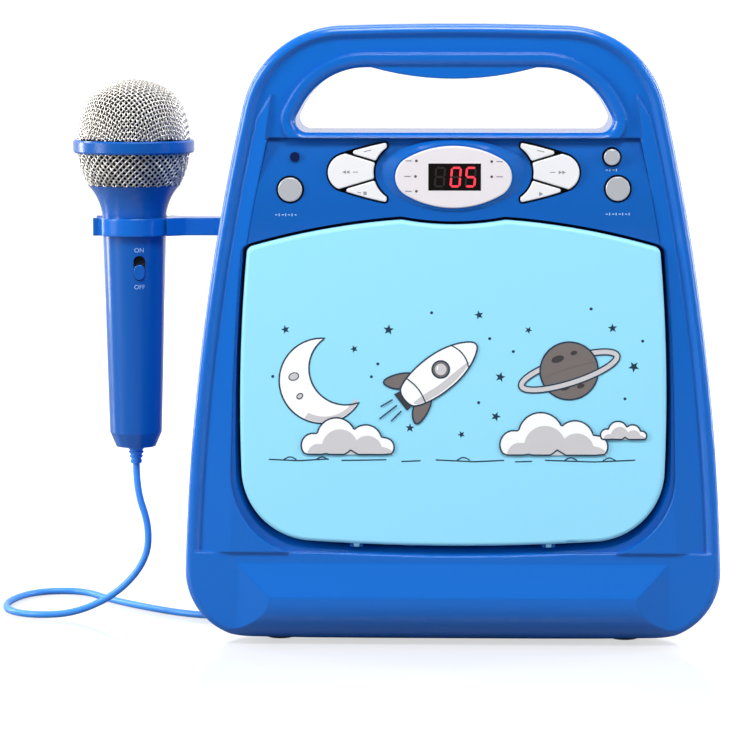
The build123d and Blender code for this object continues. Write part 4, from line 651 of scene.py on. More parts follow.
    def skin(self, across: float, z: float) -> float:
        """Depth of the handle's surface in front of its axis.

        Args:
            across: Sideways distance from the axis.
            z: Height.

        Returns:
            The distance towards the front.
        """
        (low_r, low_z), (top_r, top_z) = self.handle_low, self.handle_top
        radius = low_r + (top_r - low_r) * (z - low_z) / (top_z - low_z)
        return math.sqrt(max(radius ** 2 - across ** 2, 0.0))

    def slot_painted_shade(self) -> bpy.types.Object:
        """Near-black sheet over the switch's recess, its floor and the wall round it: painted shade.
        """
        (middle_x, middle_z), (half_w, half_h) = self.switch, self.slot_half
        floor_y = self.axis[1] - self.handle_top[0] + self.slot_depth - self.shade_sheet_gap
        ring: list[Flat] = []
        for k in range(self.slot_sides):
            turn = 2 * math.pi * k / self.slot_sides
            lift = math.copysign(half_h - half_w, math.sin(turn))
            ring.append((middle_x + half_w * math.cos(turn),
                         middle_z + half_w * math.sin(turn) + lift))
        count = len(ring)
        inner = [(self.axis[0] + u, floor_y, z) for u, z in ring]
        outer = [(self.axis[0] + u, self.axis[1] - self.skin(u, z) + self.shade_sheet_sunk, z)
                 for u, z in ring]
        faces: list[tuple[int, ...]] = [(k, (k + 1) % count, count + (k + 1) % count, count + k)
                                        for k in range(count)]
        faces.append(tuple(range(count)))
        return mesh_object("switch_slot_painted_shade", inner + outer, faces)

    def word(self, text: str, z: float, size: float = 2.1) -> None:
        """Print a word beside the switch, wrapped on the handle.

        Args:
            text: The word.
            z: Height of its middle.
            size: Height of its capitals in millimetres.
        """
        curve = bpy.data.curves.new("word", "FONT")
        curve.body, curve.size = text, size * MM * self.font_share
        curve.extrude = self.ink_depth * MM
        curve.align_x, curve.align_y = "CENTER", "CENTER"
        piece = plain_mesh(placed("word", curve), "switch_word_" + text.lower())
        for vertex in piece.data.vertices:
            x, up, out = [c / MM for c in vertex.co]
            across = self.switch[0] + x
            depth = self.skin(across, z + up) + self.ink_gap
            vertex.co = metres((self.axis[0] + across, self.axis[1] - depth - out, z + up))
        settle(piece, self.palette.get(PRINT_PALE), MICROPHONE)


# ---------------------------------------------------------------- cord
@dataclass
class Cord:
    """Microphone cord: the free stretch, the put-away coil with its tie, and its end."""

    palette: Palette
    diameter: float = 3.4
    route: tuple[Point, ...] = (
        (-154.6, 5.0, 77.5), (-154.6, 5.0, 64.0), (-148.6, 5.2, 47.0), (-149.6, 5.0, 30.0),
        (-163.0, 5.4, 13.5), (-184.0, 5.0, 2.9), (-205.0, 4.0, 1.75), (-221.0, 17.0, 1.75),
        (-224.0, 43.0, 1.75), (-213.0, 70.0, 1.75), (-188.5, 73.0, 1.75), (-173.0, 49.0, 1.75),
        (-151.0, 26.0, 1.75), (-128.0, 8.0, 1.75), (-104.0, 3.0, 1.75), (-87.0, 18.0, 1.75),
        (-83.6, 42.0, 1.75), (-87.4, 65.0, 1.75))
    coil_centre: Flat = (-62.5, 96.0)
    coil_r: float = 20.4
    rows: int = 4
    steps: int = 16
    real_length: float = 1.45
    lie_z: float = 1.75

    def coil(self) -> list[Point]:
        """Turns of the coil: wound inwards on the floor, then outwards on top.

        Returns:
            Control points of the turns, from the west side to the north side.
        """
        outer = self.coil_r + (self.rows - 1) / 2 * self.diameter
        swell = 1 / math.cos(math.pi / self.steps)
        low, high = self.lie_z, self.lie_z + self.diameter
        turns = 2 * self.rows + 0.25
        points: list[Point] = []
        for index in range(int(turns * self.steps) + 1):
            turn = index / self.steps
            inwards = min(turn, self.rows - 1)
            outwards = min(max(turn - self.rows, 0.0), self.rows - 1)
            radius = (outer - (inwards - outwards) * self.diameter) * swell
            climb = min(max((turn - (self.rows - 0.5)) * 2, 0.0), 1.0)
            angle = math.pi - 2 * math.pi * turn
            points.append((self.coil_centre[0] + radius * math.cos(angle),
                           self.coil_centre[1] + radius * math.sin(angle),
                           low + climb * (high - low)))
        return points

    def spline(self, name: str, bevel: float) -> bpy.types.Object:
        """Make the cord's NURBS line.

        Args:
            name: Object name.
            bevel: Radius of its round section in millimetres, or 0 for a bare line.

        Returns:
            The curve object.
        """
        curve = bpy.data.curves.new(name, "CURVE")
        curve.dimensions = "3D"
        curve.resolution_u = 6
        curve.bevel_depth, curve.bevel_resolution = bevel * MM, 3
        curve.use_fill_caps = True
        line = curve.splines.new("NURBS")
        points = list(self.route) + self.coil()
        line.points.add(len(points) - 1)
        for point, place in zip(line.points, points):
            point.co = (*metres(place), 1.0)
        line.order_u = 3
        line.use_endpoint_u = True
        return placed(name, curve)

    def tie(self) -> bpy.types.Object:
        """Soft wire tie round the coil's east side."""
        half_w, half_h = self.rows * self.diameter / 2 + 0.6, self.diameter + 0.35
        middle = (self.coil_centre[0] + self.coil_r, self.coil_centre[1], self.diameter + 0.05)
        ring: list[Point] = []
        corners = 28
        for y in (-2.0, 2.0):
            for k in range(corners):
                turn = 2 * math.pi * k / corners
                cx, cz = math.cos(turn), math.sin(turn)
                ring.append((middle[0] + half_w * math.copysign(abs(cx) ** 0.5, cx),
                             middle[1] + y,
                             max(0.25, middle[2] + half_h * math.copysign(abs(cz) ** 0.5, cz))))
        faces = [(k, (k + 1) % corners, corners + (k + 1) % corners, corners + k)
                 for k in range(corners)]
        band = mesh_object("coil_tie", ring, faces, smooth=True)
        wall = band.modifiers.new("wall", "SOLIDIFY")
        wall.thickness, wall.offset = 0.4 * MM, 0.0
        return plain_mesh(band, "coil_tie")

    def build(self) -> None:
        vinyl = self.palette.get(CORD_VINYL)
        bare = plain_mesh(self.spline("cord_line", 0.0), "cord_line")
        bpy.data.objects.remove(bare, do_unlink=True)
        tube = smoothed(plain_mesh(self.spline("cord_tube", self.diameter / 2), "mic_cord_tube"))
        paint(tube, vinyl)
        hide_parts("mic_cord", "mic_cord_coil")
        tie = settle(self.tie(), self.palette.get(BLACK_ABS), CABINET)
        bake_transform(tube)
        log.info("the cord bends between %s and %s", MICROPHONE, CABINET)


# ---------------------------------------------------------------- flat prints and small relief
def oval_points(x: float, z: float, a: float, b: float, turn: float = 0.0,
                count: int = 40) -> list[Flat]:
    """Outline of an ellipse.

    Args:
        x: Middle, to the right.
        z: Middle, upwards.
        a: Half-width before turning.
        b: Half-height before turning.
        turn: Rotation in degrees, anticlockwise.
        count: Number of corners.

    Returns:
        The outline's corners.
    """
    lean = math.radians(turn)
    ring = []
    for k in range(count):
        t = 2 * math.pi * k / count
        u, v = a * math.cos(t), b * math.sin(t)
        ring.append((x + u * math.cos(lean) - v * math.sin(lean),
                     z + u * math.sin(lean) + v * math.cos(lean)))
    return ring


def arc(x: float, z: float, r: float, start: float, sweep: float, steps: int) -> list[Flat]:
    """Points along a part of a circle.

    Args:
        x: Middle, to the right.
        z: Middle, upwards.
        r: Radius.
        start: Angle of the first point in radians.
        sweep: Angle from the first point to the last in radians.
        steps: Number of equal steps.

    Returns:
        The points, one more than the steps.
    """
    turns = [start + sweep * k / steps for k in range(steps + 1)]
    return [(x + r * math.cos(turn), z + r * math.sin(turn)) for turn in turns]


def closed_line(shape: Sequence[Flat]) -> list[Flat]:
    """Line round an outline that ends where it starts."""
    return [*shape, shape[0]]


@dataclass
class Press:
    """Prints flat shapes in front of a face that looks along -Y."""

    palette: Palette
    body: str
    slot: str
    face_y: float
    layer: float = 0.02
    printed: int = 0
    film: float = 0.012

    def height(self) -> float:
        """Depth of the next layer, each a little in front of the last."""
        self.printed += 1
        return self.face_y - 0.01 - self.layer * self.printed

    def fill(self, name: str, shapes: Sequence[Sequence[Flat]], finish: Finish,
             y: Optional[float] = None) -> None:
        """Print filled outlines.

        Args:
            name: Name of the piece.
            shapes: Outlines as (x, z), each convex or star-shaped about its middle.
            finish: The ink.
            y: Depth to print at, or None for the next layer.
        """
        depth = self.height() if y is None else y
        vertices: list[Point] = []
        faces: list[tuple[int, ...]] = []
        for shape in shapes:
            base = len(vertices)
            vertices += [(px, depth, pz) for px, pz in shape]
            faces.append(tuple(base + k for k in range(len(shape))))
        piece = mesh_object(name, vertices, faces)
        self.tidy(piece, finish)

    def stroke(self, name: str, lines: Sequence[Sequence[Flat]], width: float, finish: Finish,
               y: Optional[float] = None) -> None:
        """Print lines of one width.

        Args:
            name: Name of the piece.
            lines: Point lists as (x, z). A line whose ends meet is closed.
            width: Line width in millimetres.
            finish: The ink.
            y: Depth to print at, or None for the next layer.
        """
        depth = self.height() if y is None else y
        vertices: list[Point] = []
        faces: list[tuple[int, ...]] = []
        for line in lines:
            count = len(line)
            closed = math.dist(line[0], line[-1]) < 1e-6
            base = len(vertices)
            for k, (px, pz) in enumerate(line):
                before = line[k - 1] if k else (line[-2] if closed else line[0])
                after = line[k + 1] if k + 1 < count else (line[1] if closed else line[-1])
                run = math.dist(before, after) or 1.0
                nx, nz = -(after[1] - before[1]) / run, (after[0] - before[0]) / run
                vertices += [(px + nx * width / 2, depth, pz + nz * width / 2),
                             (px - nx * width / 2, depth, pz - nz * width / 2)]
            faces += [(base + 2 * k, base + 2 * k + 1, base + 2 * k + 3, base + 2 * k + 2)
                      for k in range(count - 1)]
        piece = mesh_object(name, vertices, faces)
        self.tidy(piece, finish)

    def tidy(self, piece: bpy.types.Object, finish: Finish) -> None:
        """Give the ink a thin film's thickness and let it ride on its body."""
        wall = piece.modifiers.new("film", "SOLIDIFY")
        wall.thickness, wall.offset = self.film * MM, 0.0
        made = plain_mesh(piece, piece.name.split(".")[0])
        settle(made, self.palette.get(finish), self.body)


# ---------------------------------------------------------------- display and control marks
@dataclass
class Controls:
    """Digits, indicators and small marks of the control panel."""

    palette: Palette
    panel: bpy.types.Object
    window: Flat = (0.5, 221.0)
    segment_w: float = 1.0
    digit_w: float = 4.1
    digit_h: float = 8.6
    lean: float = 0.08
    window_y: float = -62.4
    bezel_y: float = -62.7
    key_y: float = -61.6
    ray_start_y: float = -200.0
    label_pitch: float = 1.5

    SEGMENTS = {"a": ((0, 2), (1, 2)), "b": ((1, 2), (1, 1)), "c": ((1, 1), (1, 0)),
                "d": ((0, 0), (1, 0)), "e": ((0, 1), (0, 0)), "f": ((0, 2), (0, 1)),
                "g": ((0, 1), (1, 1))}
    LABELS = ((-76.6, 203.3, 5.8), (77.0, 203.9, 6.2), (74.2, 224.2, 3.4))
    FIGURES = {" ": "", "0": "abcdef", "5": "afgcd"}

    def bars(self, x: float, z: float, figures: str) -> list[list[Flat]]:
        """Six-sided bars of one digit.

        Args:
            x: Middle of the digit.
            z: Middle of the digit.
            figures: Letters of the bars wanted.

        Returns:
            One outline for each bar.
        """
        shapes = []
        for key in figures:
            (u0, v0), (u1, v1) = self.SEGMENTS[key]
            ends = []
            for u, v in ((u0, v0), (u1, v1)):
                px = x + (u - 0.5) * self.digit_w
                pz = z + (v - 1) * self.digit_h / 2
                ends.append((px + (pz - z) * self.lean, pz))
            (ax, az), (bx, bz) = ends
            run = math.dist(ends[0], ends[1])
            tx, tz = (bx - ax) / run, (bz - az) / run
            nx, nz = -tz * self.segment_w / 2, tx * self.segment_w / 2
            cut = self.segment_w * 0.62
            shapes.append([(ax + tx * 0.15, az + tz * 0.15),
                           (ax + tx * cut + nx, az + tz * cut + nz),
                           (bx - tx * cut + nx, bz - tz * cut + nz),
                           (bx - tx * 0.15, bz - tz * 0.15),
                           (bx - tx * cut - nx, bz - tz * cut - nz),
                           (ax + tx * cut - nx, az + tz * cut - nz)])
        return shapes

    def display(self) -> None:
        """Print one dark and two lit digits in the window."""
        press = Press(self.palette, CABINET, "window_dark", self.window_y)
        x, z = self.window
        places = (x - 6.8, x + 0.5, x + 7.4)
        unlit: list[list[Flat]] = []
        lit: list[list[Flat]] = []
        for place, figure in zip(places, (" ", "0", "5")):
            shown = self.FIGURES[figure]
            lit += self.bars(place, z, shown)
            unlit += self.bars(place, z, "".join(k for k in "abcdefg" if k not in shown))
        press.fill("digits_dark", unlit, UNLIT_SEGMENT)
        press.fill("digits_lit", lit, LIT_SEGMENT)

    def marks(self) -> None:
        """Print the indicators on the trim, each with a dash beside it."""
        bezel = Press(self.palette, CABINET, "trim_white", self.bezel_y)
        spots = ((-17.2, 228.5), (-17.6, 221.3), (-17.2, 214.4), (17.6, 228.2), (17.6, 221.2))
        bezel.fill("indicators", [oval_points(x, z, 0.62, 0.62, count=20) for x, z in spots],
                   INDICATOR)
        dashes = [[(x + side * 2.2, z), (x + side * 5.2, z)]
                  for (x, z), side in zip(spots, (-1, -1, -1, 1, 1))]
        bezel.stroke("indicator_dashes", dashes, 0.5, PRINT_GREY)

    def front_of(self, x: float, z: float) -> float:
        """Depth of the panel's front face at a place, found with a ray."""
        start = (x * MM, self.ray_start_y * MM, z * MM)
        hit, place, _, _ = self.panel.ray_cast(start, (0.0, 1.0, 0.0))
        return place.y / MM if hit else self.bezel_y

    def labels(self) -> None:
        """Print a pale row of dots and dashes under each round button."""
        for number, (x, z, half) in enumerate(self.LABELS):
            depth = min(self.front_of(x + u, z + v) for u in (-half, 0.0, half)
                        for v in (-0.5, 0.5))
            press = Press(self.palette, CABINET, "trim_white", depth)
            count = int(half * 2 / self.label_pitch)
            starts = [x - half + k * self.label_pitch for k in range(count)]
            lines = [[(u, z - 0.6), (u, z + 0.6)] if k % 2 else
                     [(u - 0.3, z), (u + 0.6, z)] for k, u in enumerate(starts)]
            press.stroke(f"button_label_{number}", lines, 0.42, PRINT_PALE)

    def icon(self, body: str, name: str, shapes: Sequence[Sequence[Flat]],
             lines: Sequence[Sequence[Flat]] = ()) -> None:
        """Print a small sign on a key top."""
        press = Press(self.palette, body, "key_white", self.key_y)
        depth = press.height()
        if shapes:
            press.fill("sign_" + name, shapes, PRINT_GREY, y=depth)
        if lines:
            press.stroke("dash_" + name, lines, 0.4, PRINT_GREY, y=depth)

    def icons(self) -> None:
        """Print the signs of the six wing keys."""
        def wedge(x: float, z: float, way: int, size: float = 0.85) -> list[Flat]:
            return [(x - way * size, z + size), (x - way * size, z - size), (x + way * size, z)]

        def bar(x: float, z: float, w: float, h: float) -> list[Flat]:
            return [(x - w / 2, z - h / 2), (x + w / 2, z - h / 2), (x + w / 2, z + h / 2),
                    (x - w / 2, z + h / 2)]

        self.icon("key_left_upper", "left_upper", [], [[(-41.5, 232.6), (-38.2, 233.4)]])
        self.icon("key_left_middle", "left_middle",
                  [wedge(-49.0, 223.2, -1), wedge(-50.7, 223.2, -1)],
                  [[(-46.6, 223.2), (-44.2, 223.2)]])
        self.icon("key_left_lower", "left_lower", [bar(-41.0, 213.4, 1.5, 1.5)],
                  [[(-44.6, 213.9), (-42.8, 213.6)]])
        self.icon("key_right_upper", "right_upper", [], [[(38.6, 233.4), (41.9, 232.6)]])
        self.icon("key_right_middle", "right_middle",
                  [wedge(49.4, 223.2, 1), wedge(51.1, 223.2, 1)], [[(44.6, 223.2), (47.0, 223.2)]])
        self.icon("key_right_lower", "right_lower", [wedge(40.6, 213.2, 1, 1.0)])

    def build(self) -> None:
        """Make every mark of the control panel."""
        self.display()
        self.labels()
        self.marks()
        self.icons()


# ---------------------------------------------------------------- door artwork
@dataclass
class DoorArt:
    """Screen-printed space scene on the disc door: moon, rocket, ringed planet and clouds."""

    palette: Palette
    line_w: float = 0.72
    face_y: float = -63.0
    star_waist: float = 0.42
    press: Press = field(init=False)

    def __post_init__(self) -> None:
        """Set the press up on the door's face."""
        self.press = Press(self.palette, DOOR, "door_cyan", self.face_y)

    @staticmethod
    def moved(points: Sequence[Flat], x: float, z: float, turn: float,
              scale: float = 1.0) -> list[Flat]:
        """Turn, scale and move a drawing."""
        lean = math.radians(turn)
        return [(x + scale * (u * math.cos(lean) - v * math.sin(lean)),
                 z + scale * (u * math.sin(lean) + v * math.cos(lean))) for u, v in points]

    def inked(self, name: str, shape: Sequence[Flat], finish: Finish) -> None:
        """Print a filled shape with a dark line round it."""
        self.press.fill(name + "_fill", [shape], finish)
        self.press.stroke(name + "_line", [closed_line(shape)], self.line_w, INK_LINE)

    @staticmethod
    def bumpy(circles: Sequence[tuple[float, float, float]], middle: Flat,
              floor_z: float, count: int = 120) -> list[Flat]:
        """Outline round a group of circles that stands on a level line.

        Args:
            circles: Each circle as (x, z, radius).
            middle: A point inside all of the outline.
            floor_z: Level of the flat underside.
            count: Number of corners.

        Returns:
            The outline's corners.
        """
        ring = []
        for k in range(count):
            t = 2 * math.pi * k / count
            dx, dz = math.cos(t), math.sin(t)
            far = 0.1
            for cx, cz, r in circles:
                ox, oz = middle[0] - cx, middle[1] - cz
                b = ox * dx + oz * dz
                root = b * b - (ox * ox + oz * oz - r * r)
                if root > 0:
                    far = max(far, -b + math.sqrt(root))
            if dz < 0:
                far = min(far, (floor_z - middle[1]) / dz)
            ring.append((middle[0] + far * dx, middle[1] + far * dz))
        return ring

    def cloud(self, name: str, x: float, z: float, scale: float) -> None:
        """Print a white cloud with a grey underside."""
        circles = [(-12.0, 3.4, 4.6), (-3.5, 6.6, 7.2), (7.5, 5.2, 6.0), (14.5, 2.8, 3.6)]
        rim = self.bumpy(circles, (0.0, 3.0), 0.0)
        shade = self.bumpy([(cx + 1.2, cz - 3.6, r) for cx, cz, r in circles], (0.5, 1.0), 0.0)
        outline = self.moved(rim, x, z, 0.0, scale)
        self.press.fill(name + "_fill", [outline], INK_WHITE)
        self.press.fill(name + "_shade", [self.moved(shade, x, z, 0.0, scale * 0.93)], INK_SHADE)
        self.press.stroke(name + "_line", [closed_line(outline)], self.line_w, INK_LINE)

    def moon(self, x: float, z: float, r: float) -> None:
        """Print a crescent moon with two craters."""
        steps, shade_from = 40, 26
        tips = math.radians(58.0)
        outer = arc(0.0, 0.0, r, tips, 2 * math.pi - 2 * tips, steps)
        tip_x, tip_z = outer[0]
        inner_x = 0.62 * r
        inner_r = math.hypot(tip_x - inner_x, tip_z)
        start = math.atan2(tip_z, tip_x - inner_x)
        inner = arc(inner_x, 0.0, inner_r, start, 2 * math.pi - 2 * start, steps)[1:-1]
        shape = self.moved(outer + inner[::-1], x, z, 28.0)
        self.press.fill("moon_fill", [shape], INK_WHITE)
        shade_outer = [(0.97 * u, 0.97 * v) for u, v in outer[shade_from:]]
        shade_inner = [(0.83 * u + 0.6, 0.86 * v) for u, v in outer[shade_from:]][::-1]
        self.press.fill("moon_shade", [self.moved(shade_outer + shade_inner, x, z, 28.0)],
                        INK_SHADE)
        self.press.stroke("moon_line", [closed_line(shape)], self.line_w, INK_LINE)
        craters = [oval_points(x - 0.66 * r, z + 0.10 * r, 2.3, 1.7, 20.0),
                   oval_points(x - 0.52 * r, z - 0.36 * r, 1.5, 1.1, 40.0)]
        self.press.fill("moon_craters", craters, INK_SHADE)
        self.press.stroke("moon_crater_lines", [closed_line(c) for c in craters], 0.5, INK_LINE)

    def planet(self, x: float, z: float, r: float) -> None:
        """Print a dark planet with a tilted ring."""
        tilt = 18.0
        disc = oval_points(x, z, r, r)
        ring = closed_line(oval_points(x, z, 1.72 * r, 0.42 * r, tilt, 72))
        self.inked("planet", disc, INK_STONE)
        spots = [self.moved(oval_points(u, v, a, b), x, z, tilt)
                 for u, v, a, b in ((-4.2, -6.6, 2.6, 1.5), (3.0, -8.4, 1.8, 1.0),
                                    (-3.4, 6.9, 3.0, 1.6), (4.6, 7.4, 1.6, 1.0))]
        self.press.fill("planet_spots", spots, INK_COAL)
        self.press.stroke("planet_ring_dark", [ring], 3.4, INK_LINE)
        self.press.stroke("planet_ring", [ring], 2.1, INK_SHADE)
        cap = arc(x, z, r, math.radians(tilt), math.pi, 36)
        base = self.moved([(0.98 * r * math.cos(t), 0.09 * r * math.sin(t))
                           for t in (math.pi * k / 18 for k in range(17, 0, -1))], x, z, tilt)
        self.press.fill("planet_cap", [cap + base], INK_STONE)
        self.press.stroke("planet_cap_line", [cap], self.line_w, INK_LINE)
        self.press.fill("planet_cap_spots", spots[2:], INK_COAL)

    def rocket(self, x: float, z: float, turn: float, scale: float) -> None:
        """Print a white rocket with fins, a window and three streaks behind it."""
        def put(points: Sequence[Flat]) -> list[Flat]:
            return self.moved(points, x, z, turn, scale)

        for side in (1, -1):
            fin = [(-7.0, 8.5 * side), (-15.0, 14.5 * side), (-26.0, 17.0 * side),
                   (-24.0, 10.0 * side), (-18.0, 5.0 * side)]
            self.inked("fin_upper" if side > 0 else "fin_lower", put(curved(fin, 2)), INK_STONE)
        nozzle = [(-18.0, 4.6), (-24.0, 6.0), (-24.0, -6.0), (-18.0, -4.6)]
        self.inked("nozzle", put(nozzle), INK_COAL)
        hull = put(curved([(33.0, 0.0), (26.0, 6.0), (13.0, 10.6), (-3.0, 11.2), (-16.0, 8.6),
                           (-21.5, 5.2), (-21.5, -5.2), (-16.0, -8.6), (-3.0, -11.2),
                           (13.0, -10.6), (26.0, -6.0)]))
        self.press.fill("hull_fill", [hull], INK_WHITE)
        shade = curved([(25.0, -5.2), (12.0, -9.4), (-3.0, -10.0), (-16.0, -7.8), (-20.0, -4.6),
                        (-12.0, -4.4), (0.0, -5.8), (13.0, -5.2)])
        self.press.fill("hull_shade", [put(shade)], INK_SHADE)
        self.press.stroke("hull_line", [closed_line(hull)], self.line_w, INK_LINE)
        nose = curved([(19.5, 8.3), (21.6, 3.0), (21.6, -3.0), (19.5, -8.3)], 2, closed=False)
        belt = curved([(-13.0, 9.0), (-11.4, 3.0), (-11.4, -3.0), (-13.0, -9.0)], 2, closed=False)
        self.press.stroke("hull_bands", [put(nose), put(belt)], 0.6, INK_LINE)
        self.inked("porthole", put(oval_points(6.0, 1.0, 5.0, 5.0)), INK_STONE)
        self.press.fill("porthole_glass", [put(oval_points(6.0, 1.0, 3.4, 3.4))], INK_SHADE)
        self.press.stroke("porthole_glint", [put([(4.2, 2.0), (5.8, 3.5)])], 0.6, INK_WHITE)
        streaks = [put([(-27.0, v), (-27.0 - run, v * 1.25)])
                   for v, run in ((0.0, 13.0), (4.2, 8.0), (-4.2, 8.5))]
        self.press.stroke("streaks", streaks, 0.65, INK_LINE)

    def star(self, x: float, z: float, r: float, turn: float) -> list[Flat]:
        """Outline of a five-pointed star."""
        reaches = (r, self.star_waist * r)
        return [(x + reaches[k % 2] * math.cos(math.radians(turn + 36 * k)),
                 z + reaches[k % 2] * math.sin(math.radians(turn + 36 * k))) for k in range(10)]

    def sky(self) -> None:
        """Print the small stars, dots and the dashes of the ground."""
        stars = [(-30.0, 150.0, 2.6, 12.0), (-46.0, 141.0, 1.9, 40.0), (12.0, 157.0, 2.2, 30.0),
                 (22.0, 128.0, 2.5, 5.0), (74.0, 151.0, 2.3, 22.0), (84.0, 133.0, 2.7, 50.0),
                 (35.0, 150.0, 1.8, 64.0), (-20.0, 104.0, 2.2, 15.0), (4.0, 101.0, 1.8, 44.0),
                 (-78.0, 150.0, 2.1, 33.0), (20.0, 109.5, 2.4, 70.0)]
        self.press.fill("stars", [self.star(*spot) for spot in stars], INK_LINE)
        dots = [(-38.0, 128.0), (-35.0, 134.0), (28.0, 140.0), (64.0, 160.0), (17.0, 146.0),
                (-10.0, 158.0), (88.0, 145.0), (80.0, 118.0), (-84.0, 128.0), (12.0, 116.0)]
        self.press.fill("dots", [oval_points(x, z, 0.7, 0.7, count=16) for x, z in dots], INK_LINE)
        dashes = [[(-86.0, 89.0), (-72.0, 88.4), (-58.0, 89.3)], [(-52.0, 88.6), (-31.0, 89.0)],
                  [(-24.0, 88.2), (-15.0, 88.6)], [(-8.0, 89.0), (10.0, 88.2), (24.0, 88.9)],
                  [(29.0, 88.2), (37.0, 88.5)], [(43.0, 89.0), (66.0, 88.3), (85.0, 89.2)]]
        self.press.stroke("ground", dashes, 0.6, INK_LINE)
        humps = [curved([(x, 88.9), (x + 3.0, 90.6), (x + 6.0, 88.9)], 2, closed=False)
                 for x in (-79.0, -64.0, 2.0, 52.0, 70.0)]
        self.press.stroke("ground_humps", humps, 0.55, INK_LINE)

    def build(self) -> None:
        """Print the whole picture, from the back to the front."""
        self.sky()
        self.moon(-61.0, 126.0, 20.0)
        self.planet(54.0, 131.0, 13.5)
        self.rocket(-9.0, 128.0, 38.0, 0.80)
        self.cloud("cloud_left", -50.0, 91.5, 1.25)
        self.cloud("cloud_right", 46.0, 91.5, 1.45)
        self.cloud("cloud_small", 79.0, 99.0, 0.62)


# ---------------------------------------------------------------- studio
@dataclass(frozen=True)
class Lamp:
    """One softbox, its place and the spot it is turned to."""

    name: str
    place: Point
    width: float
    height: float
    power: float
    target: Point = (0.0, 0.0, 120.0)


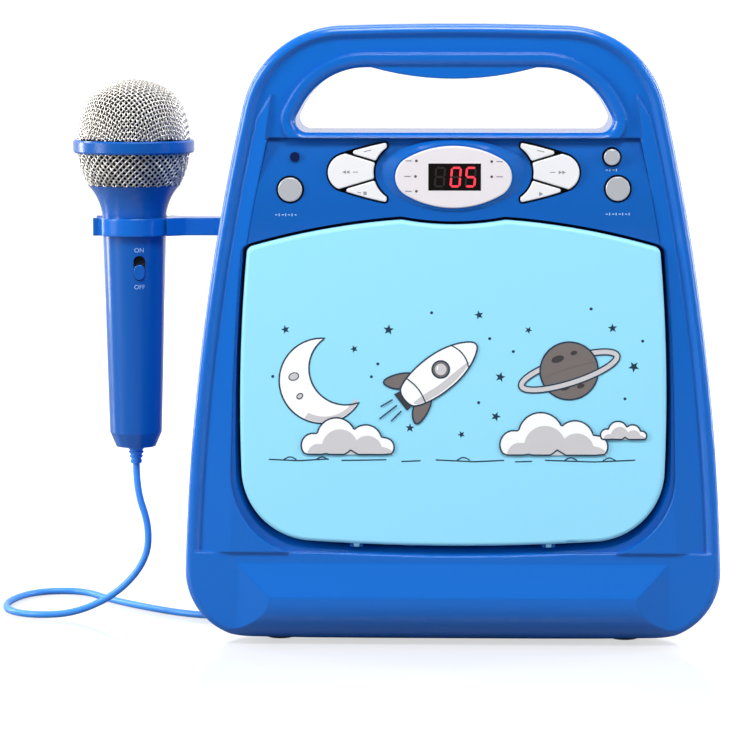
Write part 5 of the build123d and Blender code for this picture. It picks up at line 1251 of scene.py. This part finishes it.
@dataclass
class Studio:
    """Camera, lamps and the white floor the player stands on."""

    eye: Point = (0.0, -1600.0, 305.0)
    aim: Point = (-41.2, 0.0, 125.0)
    lens: float = 162.5
    floor_grey: str = "#8E9094"
    floor_glow: float = 0.62
    backdrop_glow: float = 1.0
    ambient: float = 0.15
    lamps: tuple[Lamp, ...] = (
        Lamp("key", (-1200.0, -560.0, 620.0), 380.0, 900.0, 15.0),
        Lamp("front", (100.0, -1000.0, 1500.0), 800.0, 500.0, 20.0),
        Lamp("top", (0.0, 100.0, 1400.0), 900.0, 500.0, 8.0),
        Lamp("rim left", (-900.0, 300.0, 420.0), 200.0, 800.0, 6.0),
        Lamp("rim right", (900.0, 260.0, 420.0), 200.0, 800.0, 7.0),
        Lamp("fill", (1200.0, -560.0, 560.0), 380.0, 900.0, 6.0),
    )

    def turned_to(self, place: Point, target: Point) -> Any:
        """Rotation that points an object's -Z from one place to another."""
        way = Vector([t - p for t, p in zip(target, place)])
        return way.to_track_quat("-Z", "Y").to_euler()

    def camera(self) -> None:
        """Make the camera and let the scene use it."""
        data = bpy.data.cameras.new("camera")
        data.lens, data.sensor_width = self.lens, 36.0
        data.clip_start, data.clip_end = 0.05, 20.0
        made = placed("camera", data)
        made.location = metres(self.eye)
        made.rotation_euler = self.turned_to(self.eye, self.aim)
        bpy.context.scene.camera = made

    def light(self) -> None:
        """Make the lamps and the even surroundings, which look white to the camera."""
        for lamp in self.lamps:
            data = bpy.data.lights.new(lamp.name, "AREA")
            data.shape, data.energy = "RECTANGLE", lamp.power
            data.size, data.size_y = lamp.width * MM, lamp.height * MM
            made = placed(lamp.name, data)
            made.location = metres(lamp.place)
            made.rotation_euler = self.turned_to(lamp.place, lamp.target)
        world = bpy.data.worlds.new("surroundings")
        world.use_nodes = True
        tree = world.node_tree
        ray = add_node(tree, "ShaderNodeLightPath")
        strength = add_node(tree, "ShaderNodeMapRange", {"Value": ray.outputs["Is Camera Ray"]},
                            {"To Min": self.ambient, "To Max": 1.0})
        sky = tree.nodes["Background"]
        sky.inputs["Color"].default_value = linear("#FFFFFF")
        tree.links.new(strength.outputs[0], sky.inputs["Strength"])
        bpy.context.scene.world = world
        bpy.context.scene.view_settings.view_transform = "Standard"

    def floor(self) -> None:
        """Make the floor, which sweeps up into the backdrop."""
        half, front, back, top = 4000.0, -3000.0, 2400.0, 4000.0
        bend, steps = 700.0, 12
        line: list[Flat] = [(front, 0.0), (back - bend, 0.0)]
        line += [(back - bend + bend * math.sin(a), bend - bend * math.cos(a))
                 for a in (math.pi / 2 * k / steps for k in range(1, steps + 1))]
        line.append((back, top))
        vertices = [(x, y, z) for y, z in line for x in (-half, half)]
        faces = [(2 * k, 2 * k + 1, 2 * k + 3, 2 * k + 2) for k in range(len(line) - 1)]
        sweep = mesh_object("floor", vertices, faces, smooth=True)
        paint(sweep, self.floor_material())
        sweep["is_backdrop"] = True

    def floor_material(self) -> bpy.types.Material:
        """Glossy white floor that glows to the camera, and its backdrop to reflections too.

        Returns:
            The floor's material.
        """
        material = Finish("white acrylic studio floor", self.floor_grey, roughness=0.1, ior=1.3,
                          pattern=Pattern.PLAIN).build()
        tree = material.node_tree
        shader = tree.nodes["Principled BSDF"]
        ray = add_node(tree, "ShaderNodeLightPath")
        place = add_node(tree, "ShaderNodeTexCoord")
        split = add_node(tree, "ShaderNodeSeparateXYZ", {0: place.outputs["Object"]})
        glow = add_node(tree, "ShaderNodeMapRange", {"Value": split.outputs["Y"]},
                        {"From Min": 0.2, "From Max": 1.7, "To Min": self.floor_glow,
                         "To Max": self.backdrop_glow})
        far = add_node(tree, "ShaderNodeMapRange", {"Value": split.outputs["Y"]},
                       {"From Min": 0.9, "From Max": 1.4})
        mirrored = add_node(tree, "ShaderNodeMath",
                            {0: ray.outputs["Is Glossy Ray"], 1: far.outputs[0]},
                            operation="MULTIPLY")
        seen = add_node(tree, "ShaderNodeMath",
                        {0: ray.outputs["Is Camera Ray"], 1: mirrored.outputs[0]},
                        operation="MAXIMUM")
        strength = add_node(tree, "ShaderNodeMath", {0: glow.outputs[0], 1: seen.outputs[0]},
                            operation="MULTIPLY")
        shader.inputs["Emission Color"].default_value = linear("#FFFFFF")
        tree.links.new(strength.outputs[0], shader.inputs["Emission Strength"])
        return material

    def build(self) -> None:
        """Set the whole studio up."""
        self.camera()
        self.light()
        self.floor()


# ---------------------------------------------------------------- the whole scene
@dataclass
class KaraokePlayer:
    """The player's visual pieces, each made by its own class."""

    palette: Palette = field(default_factory=Palette)

    def build(self, nodes: dict[str, bpy.types.Object]) -> None:
        """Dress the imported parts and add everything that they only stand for.

        Args:
            nodes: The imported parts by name.
        """
        Cord(self.palette).build()
        self.palette.dress(nodes, WARDROBE)
        Microphone(self.palette).build()
        Controls(self.palette, nodes["control_panel"]).build()
        DoorArt(self.palette).build()


def corners() -> list[list[float]]:
    """Lowest and highest corner of what is shown, as plain lists."""
    low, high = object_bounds()
    return [list(low), list(high)]


def main() -> None:
    """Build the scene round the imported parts."""
    logging.basicConfig(level=logging.INFO)
    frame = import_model()
    Studio().build()
    KaraokePlayer().build(frame["nodes"])


if __name__ == "__main__":
    main()
